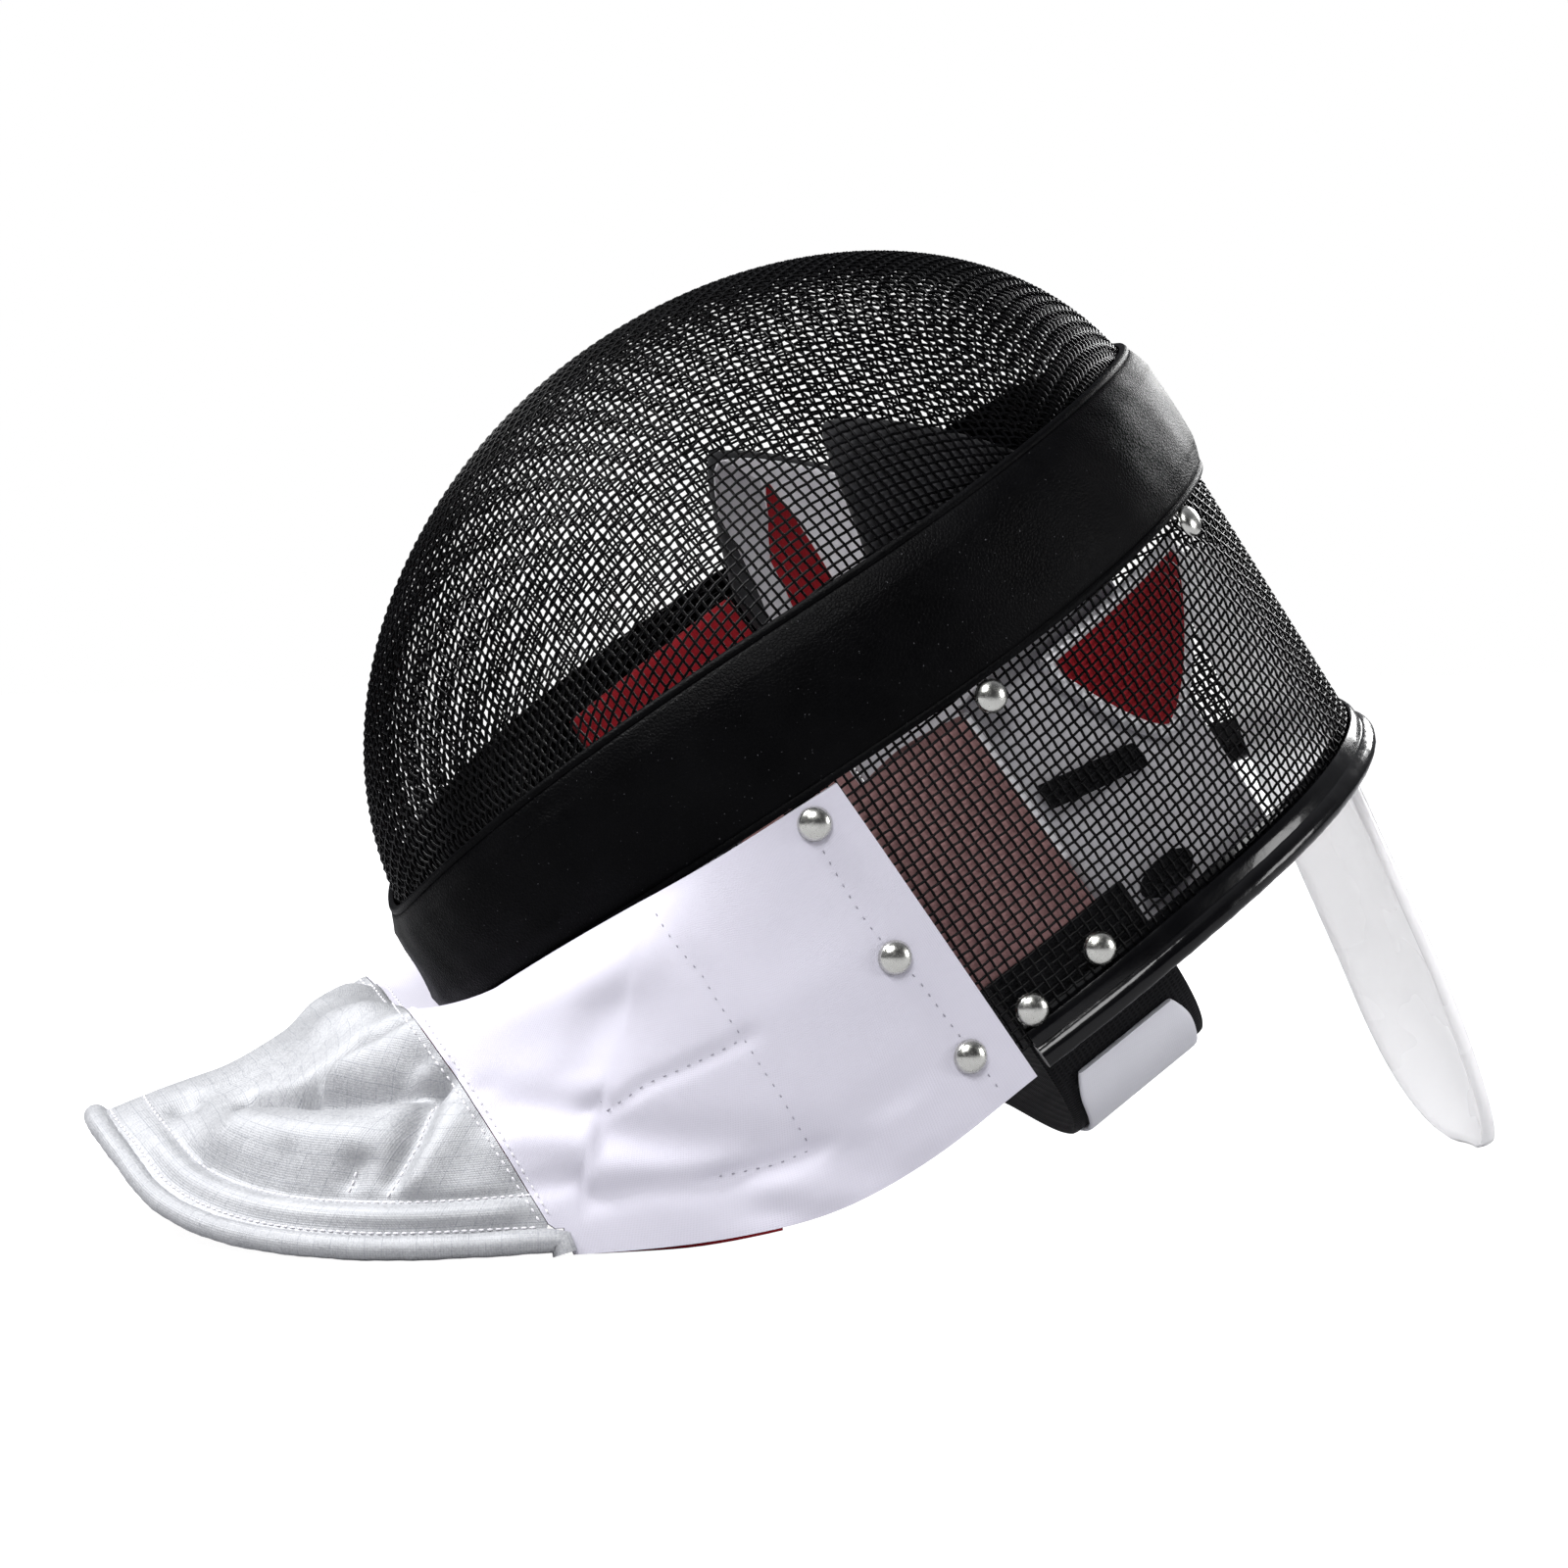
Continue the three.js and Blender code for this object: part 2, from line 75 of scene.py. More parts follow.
# Millimetres on the bib for a degree of angle and for the whole share from hem to band.
BIB_MM = np.array([2.2, 95.0])
# Straight up from the floor, in the mask's own frame.
FLOOR_UP = np.array([0, math.sin(TILT * DEG), math.cos(TILT * DEG)])

# Hem of the bib on one side: angle from the chin, x, y, z.
HEM = np.array([
    (0, 0, -252.5, 25.5), (10, 23, -251.5, 16), (20, 47, -249, 0.5), (30, 71, -237, -16),
    (40, 90, -214.5, -35), (50, 99, -183.5, -57), (58, 101, -153, -78.5), (64, 100, -125.5, -95.5),
    (69, 98.5, -100, -107), (73.5, 97, -70.5, -112.5), (BIB_ANGLE, 95.2, -33.5, -113.5),
], float)
# Rear tongue: z, y, half width, cup.
TONGUE = np.array([
    (-45.5, 131.6, 31, 9), (-84, 128.5, 34, 8.5), (-121.5, 121.5, 36.5, 8), (-159, 115, 38, 8),
    (-192, 108.5, 38, 8), (-218, 101.5, 36, 8), (-237, 95, 30, 8), (-249, 90, 20, 8), (-254, 87.5, 7, 8),
], float)
# Strap path on one side: x, z.
STRAP = np.array([
    (0, -144), (28, -146), (53, -146), (71, -141.5), (81, -132.5), (86.5, -122), (89, -112), (90.6, -102.5),
    (91.6, -93.5), (91.8, -86),
], float)
STRAP_WIDTH, STRAP_Y, STRAP_WALL = 49.0, -4.0, 2.0
PATCH_WIDTH, PATCH_WALL, PATCH_GAP, PATCH_FROM, PATCH_TO = 41.0, 1.6, 0.4, 0.66, 0.86
# Rivets through the wire: y, z; through the bib: angle, share from hem to band.
WIRE_RIVETS = {
    "rivet_strap_low": (-19.5, -98), "rivet_strap_high": (3, -96.3),
    "rivet_band_side": (20, -19.9), "rivet_band_crown": (109.5, -22.6),
}
BIB_RIVETS = {
    "rivet_bib_front": (74.2, 0.94), "rivet_bib_middle": (75.4, 0.515), "rivet_bib_rear": (76.4, 0.165),
}
RIVET_RADIUS, RIVET_HEIGHT, RIVET_SEAT = 4.8, 3.2, 0.3
# Liner pads: y0, y1, z0, z1, depth below the wire, thickness, peak, tip.
PADS = {
    "cheek_pad": (-59, 12.5, 1, 24.5, 2.8, 6, 0, 0.5),
    "temple_pad": (14, 78, 3, 70, 2.8, 9, 0.7, 0.38),
    "side_panel": (-31.5, 12, -84, -17, 2.8, 6, 0.05, 0.5),
    "rear_pad": (13.5, 80, -104.5, -16, 6.2, 7, 0.03, 0.5),
    "leaf_pad": (103, 42, -23.5, -63, 2.8, 3, 0.85, 0.64),
    "grip_tab": (17, 50.5, -62, -54, 2.7, 2.8, 0, 0.5),
    "grip_spot": (25, 46, -103, -93.5, 2.7, 2.8, 0, 0.5),
}


def smooth(v):
    k = np.clip(v, 0, 1)
    return k * k * (3 - 2 * k)


def mix(a, b, k):
    return a + (b - a) * k


def unit(v):
    return v / np.maximum(np.linalg.norm(v, axis=-1, keepdims=True), 1e-12)


def lengths(path):
    """Length along a path of points up to each of them."""
    return np.concatenate([[0], np.cumsum(np.linalg.norm(np.diff(path, axis=0), axis=1))])


def along_path(at, run, values):
    """Values of a path's points at given lengths."""
    return np.stack([np.interp(at, run, values[:, k]) for k in range(values.shape[1])], -1)


def linked(name, data, axes=np.eye(3), at=(0, 0, 0)):
    """A new object of the scene with the given axes and place."""
    item = bpy.data.objects.new(name, data)
    bpy.context.scene.collection.objects.link(item)
    rows = np.column_stack([*axes, at])
    item.matrix_world = Matrix([[float(v) for v in row] for row in rows] + [[0, 0, 0, 1]])
    return item


def world(p):
    """Mask frame in millimetres to the row frame in metres."""
    c, s = math.cos(TILT * DEG), math.sin(TILT * DEG)
    x, y, z = p[..., 0], p[..., 1], p[..., 2]
    return np.stack([x, MASK_AT[0] + y * c - z * s, MASK_AT[1] + y * s + z * c], -1) / 1000


def reach(z, base, size, slant, apex):
    t = np.clip((z - base) / (apex - base), 0, 1)
    return np.where(z < base, size + slant * (base - z), size * np.sqrt(np.maximum(0, 1 - t * t)))


def body(angle, z, inset=0.0):
    """Points on the wire surface by angle from the chin towards +x and height forward."""
    angle, z = np.broadcast_arrays(np.asarray(angle, float), np.asarray(z, float))
    c, s, apex = np.cos(angle), np.sin(angle), APEX - inset
    chin = reach(z, CHIN_BASE, CHIN_REACH - inset, CHIN_SLANT, apex)
    crown = reach(z, CROWN_BASE, CROWN_REACH - inset, CROWN_SLANT, apex)
    side = reach(z, SIDE_BASE, SIDE_REACH - inset, 0.0, apex)
    return np.stack([side * s, -np.where(c > 0, chin, crown) * c, z], -1)


def body_normal(angle, z):
    e = 1e-3
    da = body(angle + e, z) - body(angle - e, z)
    dz = body(angle, np.asarray(z) + e) - body(angle, np.asarray(z) - e)
    return unit(np.cross(da, dz))


def band_line(angle):
    side = (np.sqrt(np.sin(angle) ** 2 + 0.04) - 0.2) / (math.sqrt(1.04) - 0.2)
    bow = side * (BAND_BOW + 2 * BAND_SKEW * np.cos(angle))
    return bow + BAND_CROWN_LEAN * smooth(-np.cos(angle))


def band_rear_edge(angle):
    extra = BAND_SIDE_EXTRA * np.sin(angle) ** 2 - BAND_CHIN_CUT * np.maximum(0, np.cos(angle)) ** 3
    return band_line(angle) - BAND_REAR - extra


def rim_line(angle):
    return mix(RIM_SIDE, RIM_BACK, smooth((-np.cos(angle) - 0.1) / 0.9))


def angle_at(y):
    y = np.asarray(y, float)
    return np.arccos(np.clip(np.where(y > 0, -y / CROWN_REACH, -y / CHIN_REACH), -1, 1))


# Meshes


def make(name, points, faces, material, slot, replaces=(), uv=None, sharp=None):
    """A piece of the object from points in the mask frame; faces is a list of index arrays."""
    groups = [np.asarray(g, np.int32) for g in faces if len(g)]
    loops = np.concatenate([g.ravel() for g in groups])
    sizes = np.concatenate([np.full(len(g), g.shape[1], np.int32) for g in groups])
    starts = np.concatenate([[0], np.cumsum(sizes)[:-1]]).astype(np.int32)
    mesh = bpy.data.meshes.new(name)
    mesh.vertices.add(len(points))
    mesh.vertices.foreach_set("co", world(np.asarray(points, float)).astype(np.float32).ravel())
    mesh.loops.add(len(loops))
    mesh.loops.foreach_set("vertex_index", loops)
    mesh.polygons.add(len(sizes))
    mesh.polygons.foreach_set("loop_start", starts)
    mesh.polygons.foreach_set("use_smooth", np.ones(len(sizes), bool))
    if uv is not None:
        layer = mesh.uv_layers.new(name="UVMap")
        layer.data.foreach_set("uv", np.asarray(uv, np.float32)[loops].ravel())
    mesh.update(calc_edges=True)
    mesh.validate()
    if sharp is not None:
        mesh.set_sharp_from_angle(angle=sharp * DEG)
    piece = linked(name, mesh)
    mesh.materials.append(material)
    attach(piece, "root")
    if replaces:
        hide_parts(*replaces)
    return piece


def grid_faces(nu, nv, base=0, loop=False, flip=False):
    """Quads over a grid of points stored as [u][v]."""
    i, j = np.meshgrid(np.arange(nu if loop else nu - 1), np.arange(nv - 1), indexing="ij")
    i, j = i.ravel(), j.ravel()
    k = (i + 1) % nu
    quads = np.stack([i * nv + j, k * nv + j, k * nv + j + 1, i * nv + j + 1], -1) + base
    return quads[:, ::-1] if flip else quads


def shell(outer, inner, loop=False):
    """Closed wall between two grids of the same size."""
    nu, nv = outer.shape[:2]
    n = nu * nv
    points = np.concatenate([outer.reshape(-1, 3), inner.reshape(-1, 3)])
    faces = [grid_faces(nu, nv, 0, loop), grid_faces(nu, nv, n, loop, flip=True)]
    i = np.arange(nu if loop else nu - 1)
    k = (i + 1) % nu
    faces.append(np.stack([k * nv, i * nv, n + i * nv, n + k * nv], -1))
    top = nv - 1
    faces.append(np.stack([i * nv + top, k * nv + top, n + k * nv + top, n + i * nv + top], -1))
    if not loop:
        j = np.arange(nv - 1)
        last = (nu - 1) * nv
        faces.append(np.stack([j, j + 1, n + j + 1, n + j], -1))
        faces.append(np.stack([last + j + 1, last + j, n + last + j, n + last + j + 1], -1))
    return points, [np.concatenate(faces)]


def grid_uv(grid):
    """Lengths along a grid in centimetres, as texture coordinates."""
    du = np.linalg.norm(np.diff(grid, axis=0), axis=-1).mean(1)
    dv = np.linalg.norm(np.diff(grid, axis=1), axis=-1)
    u = np.concatenate([[0], np.cumsum(du)])
    v = np.concatenate([np.zeros((len(grid), 1)), np.cumsum(dv, 1)], 1)
    return np.stack([np.broadcast_to(u[:, None], v.shape), v], -1).reshape(-1, 2) / 10


def make_wall(name, outer, inner, material, slot, replaces=(), sharp=60, loop=False, flip=False):
    """A piece made of the closed wall between two grids, with the first grid's lengths as coordinates."""
    points, faces = shell(inner, outer) if flip else shell(outer, inner, loop)
    uv = np.concatenate([grid_uv(outer)] * 2)
    return make(name, points, faces, material, slot, replaces, uv, sharp)


def tube(path, normals, radius, sides, closed=False):
    """Rings along a path; radius may vary along it."""
    t = unit(np.roll(path, -1, 0) - np.roll(path, 1, 0)) if closed else unit(np.gradient(path, axis=0))
    b = unit(np.cross(t, normals))
    n = np.cross(b, t)
    phi = (np.arange(sides) + 0.5) * 2 * np.pi / sides
    r = np.broadcast_to(np.asarray(radius, float), (len(path),))[:, None, None]
    ring = np.cos(phi)[None, :, None] * n[:, None] + np.sin(phi)[None, :, None] * b[:, None]
    points = path[:, None] + r * ring
    m = len(path)
    i, j = np.meshgrid(np.arange(m if closed else m - 1), np.arange(sides), indexing="ij")
    i, j = i.ravel(), j.ravel()
    k, l = (i + 1) % m, (j + 1) % sides
    quads = np.stack([i * sides + j, i * sides + l, k * sides + l, k * sides + j], -1)
    faces = [quads]
    if not closed:
        first = np.arange(sides)
        faces += [first[::-1][None], (m - 1) * sides + first[None]]
    return points.reshape(-1, 3), faces


class Gather:
    """Collects many small shapes into one mesh."""

    def __init__(self):
        self.points, self.faces, self.count = [], {}, 0

    def add(self, points, groups):
        for g in groups:
            g = np.asarray(g)
            if len(g):
                self.faces.setdefault(g.shape[1], []).append(g + self.count)
        self.points.append(points)
        self.count += len(points)

    def out(self):
        return np.concatenate(self.points), [np.concatenate(g) for g in self.faces.values()]


# Materials


class Surface:
    """A Principled material and the nodes that feed it."""

    def __init__(self, name, **sockets):
        self.material = bpy.data.materials.new(name)
        self.material.use_nodes = True
        self.tree = self.material.node_tree
        self.shader = self.tree.nodes["Principled BSDF"]
        for socket, value in sockets.items():
            self.shader.inputs[socket.replace("_", " ")].default_value = value
        self.coords = self.node("ShaderNodeTexCoord")

    def node(self, kind, inputs=None, **settings):
        made = self.tree.nodes.new(kind)
        for key, value in settings.items():
            setattr(made, key, value)
        for key, value in (inputs or {}).items():
            if isinstance(value, bpy.types.NodeSocket):
                self.tree.links.new(value, made.inputs[key])
            else:
                # The only tuples are colours.
                made.inputs[key].default_value = (*value, 1.0) if isinstance(value, tuple) else value
        return made

    def noise(self, scale, detail):
        made = self.node("ShaderNodeTexNoise", {
            "Vector": self.coords.outputs["Object"], "Scale": scale, "Detail": detail, "Roughness": 0.55})
        return made.outputs["Fac"]

    def range(self, value, low, high, out_low=0, out_high=1):
        made = self.node("ShaderNodeMapRange", {
            "Value": value, "From Min": low, "From Max": high, "To Min": out_low, "To Max": out_high})
        return made.outputs["Result"]

    def blend(self, factor, a, b):
        made = self.node("ShaderNodeMix", {0: factor, 6: a, 7: b}, data_type="RGBA", blend_type="MIX")
        return made.outputs[2]

    def sum(self, a, b, share):
        made = self.node("ShaderNodeMath", {0: b, 1: share, 2: a}, operation="MULTIPLY_ADD")
        return made.outputs[0]

    def feed(self, socket, value):
        self.tree.links.new(value, self.shader.inputs[socket])

    def rough(self, value, low, high):
        self.feed("Roughness", self.range(value, 0.3, 0.7, low, high))

    def bump(self, height, strength, distance):
        made = self.node("ShaderNodeBump", {"Height": height, "Strength": strength, "Distance": distance})
        self.feed("Normal", made.outputs["Normal"])

    def weave(self, across, along):
        """Crossed threads from the piece's own lengths, in threads per centimetre."""
        waves = []
        for direction, count in (("X", across), ("Y", along)):
            made = self.node("ShaderNodeTexWave", {
                "Vector": self.coords.outputs["UV"], "Scale": count * math.pi / 10, "Distortion": 0.0},
                wave_type="BANDS", bands_direction=direction, wave_profile="SIN")
            waves.append(made.outputs["Fac"])
        made = self.node("ShaderNodeMath", {0: waves[0], 1: waves[1]}, operation="MAXIMUM")
        return made.outputs[0]


def painted_wire():
    s = Surface("painted_wire", Specular_IOR_Level=0.06)
    worn = s.noise(60.0, 4.0)
    dark, light = (0.0006, 0.0006, 0.0008), (0.0025, 0.0025, 0.003)
    s.feed("Base Color", s.blend(s.range(worn, 0.45, 0.8), dark, light))
    s.rough(s.noise(900.0, 2.0), 0.2, 0.32)
    s.bump(s.noise(2500.0, 2.0), 0.15, 0.0002)
    return s.material


def leather():
    s = Surface("trim_leather", Specular_IOR_Level=0.04)
    inputs = {"Vector": s.coords.outputs["Object"], "Scale": 900.0}
    cells = s.node("ShaderNodeTexVoronoi", inputs, feature="DISTANCE_TO_EDGE")
    grain = s.range(cells.outputs["Distance"], 0.0, 0.25)
    wide = s.noise(45.0, 5.0)
    dark, light = (0.0004, 0.0004, 0.0006), (0.0016, 0.0016, 0.002)
    colour = s.blend(s.range(wide, 0.35, 0.75), dark, light)
    dust = s.range(s.noise(1400.0, 1.0), 0.76, 0.8)
    s.feed("Base Color", s.blend(dust, colour, (0.07, 0.07, 0.075)))
    s.rough(wide, 0.4, 0.5)
    s.bump(s.sum(grain, wide, 0.7), 0.3, 0.00025)
    return s.material


def vinyl():
    s = Surface("rim_vinyl", Specular_IOR_Level=0.15, Coat_Weight=0.22, Coat_Roughness=0.05)
    wide = s.noise(70.0, 4.0)
    s.feed("Base Color", s.blend(wide, (0.001, 0.001, 0.0014), (0.004, 0.004, 0.0046)))
    s.rough(wide, 0.14, 0.26)
    s.bump(s.sum(s.noise(500.0, 3.0), wide, 2.0), 0.12, 0.0006)
    return s.material


def fabric(name, dark, light, threads, sheen=0.25, depth=0.00012):
    s = Surface(name, Specular_IOR_Level=0.25, Sheen_Weight=sheen, Sheen_Roughness=0.5)
    wide = s.noise(22.0, 4.0)
    weave = s.weave(threads, threads)
    tone = s.blend(s.range(wide, 0.3, 0.7), dark, light)
    # The gaps between the threads are blended a little towards a darker tone: painted shade.
    gap_shade = tuple(c * 0.6 for c in dark)
    s.feed("Base Color", s.blend(s.range(weave, 0.4, 1.0, 0.12, 0.0), tone, gap_shade))
    s.rough(s.noise(300.0, 2.0), 0.77, 0.91)
    s.bump(s.sum(weave, s.noise(700.0, 2.0), 0.6), 0.35, depth)
    return s.material


def lame():
    s = Surface("silver_lame", Metallic=0.35, Specular_IOR_Level=0.4)
    grid = s.node("ShaderNodeTexBrick", {
        "Vector": s.coords.outputs["UV"], "Scale": 1.0, "Mortar Size": 0.012, "Mortar Smooth": 0.4,
        "Bias": 0.0, "Brick Width": 0.46, "Row Height": 0.46, "Color1": (0.315, 0.32, 0.335),
        "Color2": (0.28, 0.285, 0.3), "Mortar": (0.2, 0.21, 0.23)}, offset=0.0, squash=1.0)
    fine = s.noise(1500.0, 3.0)
    # Brighter specks of fine noise stand for the glitter of the metal threads: painted glints.
    glint_speck = s.range(fine, 0.35, 0.75, 0.0, 0.5)
    toned = s.blend(glint_speck, grid.outputs["Color"], (0.58, 0.585, 0.61))
    wide = s.noise(60.0, 4.0)
    s.feed("Base Color", s.blend(s.range(wide, 0.35, 0.75, 0, 0.35), toned, (0.235, 0.24, 0.255)))
    s.rough(fine, 0.48, 0.74)
    weave = s.weave(14.0, 14.0)
    s.bump(s.sum(weave, s.sum(fine, grid.outputs["Fac"], 1.0), 0.8), 0.3, 0.00025)
    return s.material


def plastic():
    s = Surface("tongue_plastic", Specular_IOR_Level=0.5, Coat_Weight=0.3, Coat_Roughness=0.08,
                Subsurface_Weight=0.7, Subsurface_Scale=0.02, Subsurface_Radius=(1.0, 1.0, 1.0))
    wide = s.noise(18.0, 3.0)
    dark, light = (0.9, 0.89, 0.925), (0.92, 0.91, 0.94)
    s.feed("Base Color", s.blend(s.range(wide, 0.3, 0.7), dark, light))
    s.rough(s.noise(30.0, 2.0), 0.24, 0.3)
    return s.material


def chrome():
    s = Surface("rivet_chrome", Metallic=1.0)
    wide = s.noise(260.0, 3.0)
    s.feed("Base Color", s.blend(wide, (0.5, 0.5, 0.47), (0.64, 0.64, 0.61)))
    s.rough(s.noise(900.0, 2.0), 0.2, 0.3)
    s.bump(s.noise(400.0, 2.0), 0.04, 0.0002)
    return s.material


def webbing():
    s = Surface("strap_elastic", Specular_IOR_Level=0.1, Sheen_Weight=0.03, Sheen_Roughness=0.4)
    ribs = s.weave(9.0, 5.5)
    wide = s.noise(80.0, 4.0)
    tone = s.blend(wide, (0.002, 0.002, 0.0025), (0.007, 0.007, 0.008))
    # The crests of the ribs are painted lighter than the hollows between them: painted highlight and shade.
    s.feed("Base Color", s.blend(s.range(ribs, 0.3, 1.0, 0, 0.5), tone, (0.012, 0.012, 0.0135)))
    s.rough(wide, 0.65, 0.85)
    s.bump(ribs, 0.6, 0.0005)
    return s.material


def thread(name, colour):
    s = Surface(name, Specular_IOR_Level=0.3, Sheen_Weight=0.2)
    ply = s.noise(1800.0, 2.0)
    dark = tuple(c * 0.85 for c in colour)
    s.feed("Base Color", s.blend(s.range(ply, 0.3, 0.7), dark, colour))
    s.rough(ply, 0.5, 0.75)
    s.bump(ply, 0.4, 0.0002)
    return s.material


WIRE_PAINT = painted_wire()
LEATHER = leather()
VINYL = vinyl()
WHITE = fabric("bib_white", (0.49, 0.478, 0.55), (0.525, 0.512, 0.585), 16.0)
LAME = lame()
RED = fabric("liner_red", (0.24, 0.003, 0.008), (0.34, 0.006, 0.014), 9.0, sheen=0.1, depth=0.0003)
PINK = fabric("panel_pink", (0.31, 0.165, 0.165), (0.39, 0.215, 0.21), 9.0, sheen=0.1, depth=0.0003)
PADDING = fabric("pad_grey_white", (0.5, 0.49, 0.52), (0.6, 0.59, 0.62), 12.0, sheen=0.15)
# Near black: the grey back cloth of the temple pads, with the shade it lies in behind the wire painted into
# its colour.
SHADED_PAD_BACK = fabric("pad_back_painted_shade", (0.02, 0.02, 0.022), (0.032, 0.032, 0.035), 12.0, sheen=0.1)
EDGING = fabric("edge_white", (0.86, 0.85, 0.89), (0.93, 0.92, 0.95), 14.0, sheen=0.2)
PATCH = fabric("patch_white", (0.6, 0.6, 0.65), (0.66, 0.66, 0.71), 14.0, sheen=0.2)
PLASTIC = plastic()
CHROME = chrome()
ELASTIC = webbing()
THREAD_WHITE = thread("thread_white", (0.66, 0.65, 0.69))
THREAD_GREY = thread("thread_grey", (0.27, 0.265, 0.31))

# Wire mesh. In front it is a net of equal steps laid from the foremost point, the form that flat woven wire
# takes when it is pressed.


def dome_level(p):
    """Zero on the dome, less than zero inside it."""
    x, y, z = p[..., 0], p[..., 1], p[..., 2]
    apex = APEX - INSET
    sx, bx = SIDE_REACH - INSET, SIDE_BASE
    sy = np.where(y < 0, CHIN_REACH - INSET, CROWN_REACH - INSET)
    by = np.where(y < 0, CHIN_BASE, CROWN_BASE)
    slant = np.where(y < 0, CHIN_SLANT, CROWN_SLANT)
    tx, ty = (z - bx) / (apex - bx), (z - by) / (apex - by)
    qx = np.where(z < bx, 1.0, 1 - tx * tx)
    qy = np.where(z < by, (1 + slant * (by - z) / sy) ** 2, 1 - ty * ty)
    near = (apex + z - 2 * bx) * (apex - by) ** 2 / ((apex + z - 2 * by) * (apex - bx) ** 2)
    ratio = np.where(z > 45, near, qx / np.where(np.abs(qy) < 1e-6, 1e-6, qy))
    return x * x / (sx * sx) + y * y / (sy * sy) * ratio - qx


def dome_gradient(p):
    out, e = np.zeros_like(p), 1e-3
    for k in range(3):
        step = np.zeros(3)
        step[k] = e
        out[..., k] = (dome_level(p + step) - dome_level(p - step)) / (2 * e)
    return out


def net_axis(direction, count):
    """Equal steps along a plane curve from the apex."""
    angle = math.atan2(direction[0], -direction[1])
    z = (APEX - INSET) - 150 * np.linspace(0, 1, 30000) ** 2
    curve = body(np.full_like(z, angle), z, INSET)
    return along_path(np.arange(count) * PITCH, lengths(curve), curve)


def net_quadrant(y_sign, nx, ny):
    net = np.full((nx, ny, 3), np.nan)
    net[:, 0] = net_axis((1, 0), nx)
    net[0, :] = net_axis((0, y_sign), ny)
    for k in range(2, nx + ny - 1):
        i = np.arange(max(1, k - ny + 1), min(nx - 1, k - 1) + 1)
        j = k - i
        a, b, c = net[i - 1, j], net[i, j - 1], net[i - 1, j - 1]
        good = np.isfinite(a[:, 0]) & np.isfinite(b[:, 0]) & np.isfinite(c[:, 0])
        if not good.any():
            continue
        i, j, a, b, c = i[good], j[good], a[good], b[good], c[good]
        x = a + b - c
        for _ in range(7):
            rows = np.stack([dome_gradient(x), 2 * (x - a), 2 * (x - b)], 1)
            off = [((x - q) ** 2).sum(1) - PITCH**2 for q in (a, b)]
            left = np.stack([dome_level(x), *off], 1)
            rows += 1e-9 * np.eye(3)
            step = np.linalg.solve(rows, left[..., None])[..., 0]
            size = np.linalg.norm(step, axis=1, keepdims=True)
            x = x - step * np.minimum(1, PITCH / np.maximum(size, 1e-9))
        ahead = ((x - c) * (a + b - 2 * c)).sum(1) > 0
        fits = (np.abs(dome_level(x)) < 1e-4) & ahead & (x[:, 2] > -45)
        net[i[fits], j[fits]] = x[fits]
    return net


def wire_rows(net, normals, valid, sign, gather):
    """One tube for each run of valid crossings along the second index."""
    for i in range(net.shape[0]):
        ok = np.concatenate([[0], valid[i].astype(int), [0]])
        starts, stops = np.where(np.diff(ok) == 1)[0], np.where(np.diff(ok) == -1)[0]
        for s, e in zip(starts, stops):
            if e - s < 3:
                continue
            j = np.arange(s, e)
            up = np.where((i + j) % 2 == 0, 1.0, -1.0) * sign
            path = net[i, j] + normals[i, j] * (up * WIRE * 0.46)[:, None]
            gather.add(*tube(path, normals[i, j], WIRE / 2, WIRE_SIDES))


def woven(name, net, normals, valid, replaces):
    grids = (net, normals, valid)
    for mark, sign in (("lengthwise", 1), ("crosswise", -1)):
        gather = Gather()
        wire_rows(*grids, sign, gather)
        make(name + "_" + mark, *gather.out(), WIRE_PAINT, "wire", replaces)
        grids = [np.swapaxes(grid, 0, 1) for grid in grids]


def front_wire():
    nx, ny = 70, 86
    chin, crown = net_quadrant(-1, nx, ny), net_quadrant(1, nx, ny)
    half = np.concatenate([chin[:, :0:-1], crown], 1)
    mirrored = half[:0:-1] * np.array([-1.0, 1.0, 1.0])
    net = np.concatenate([mirrored, half], 0)
    known = np.isfinite(net[..., 0])
    net = np.where(known[..., None], net, 0.0)
    normals = unit(dome_gradient(net))
    along = np.where(net[..., 1] < 0, CHIN_REACH, CROWN_REACH)
    angle = np.arctan2(net[..., 0] / SIDE_REACH, -net[..., 1] / along)
    valid = known & (net[..., 2] > band_line(angle) - 2)
    woven("front_wire", net, normals, valid, ["front_mesh"])


def rear_wire():
    fine = np.linspace(REAR_FROM, 360 - REAR_FROM, 4000) * DEG
    loop = body(fine, -50.0, INSET)
    length = lengths(loop)
    count = int(length[-1] / PITCH) | 1
    angle = np.interp((np.arange(count) + 0.5) * length[-1] / count, length, fine)
    z = np.arange(-112.0, 24.0, PITCH)
    a, h = np.meshgrid(angle, z, indexing="ij")
    net, normals = body(a, h, INSET), body_normal(a, h)
    valid = (h > rim_line(a) - 1.5) & (h < band_line(a) - 5)
    woven("rear_wire", net, normals, valid, ["rear_mesh"])


# Trim band with rolled edges


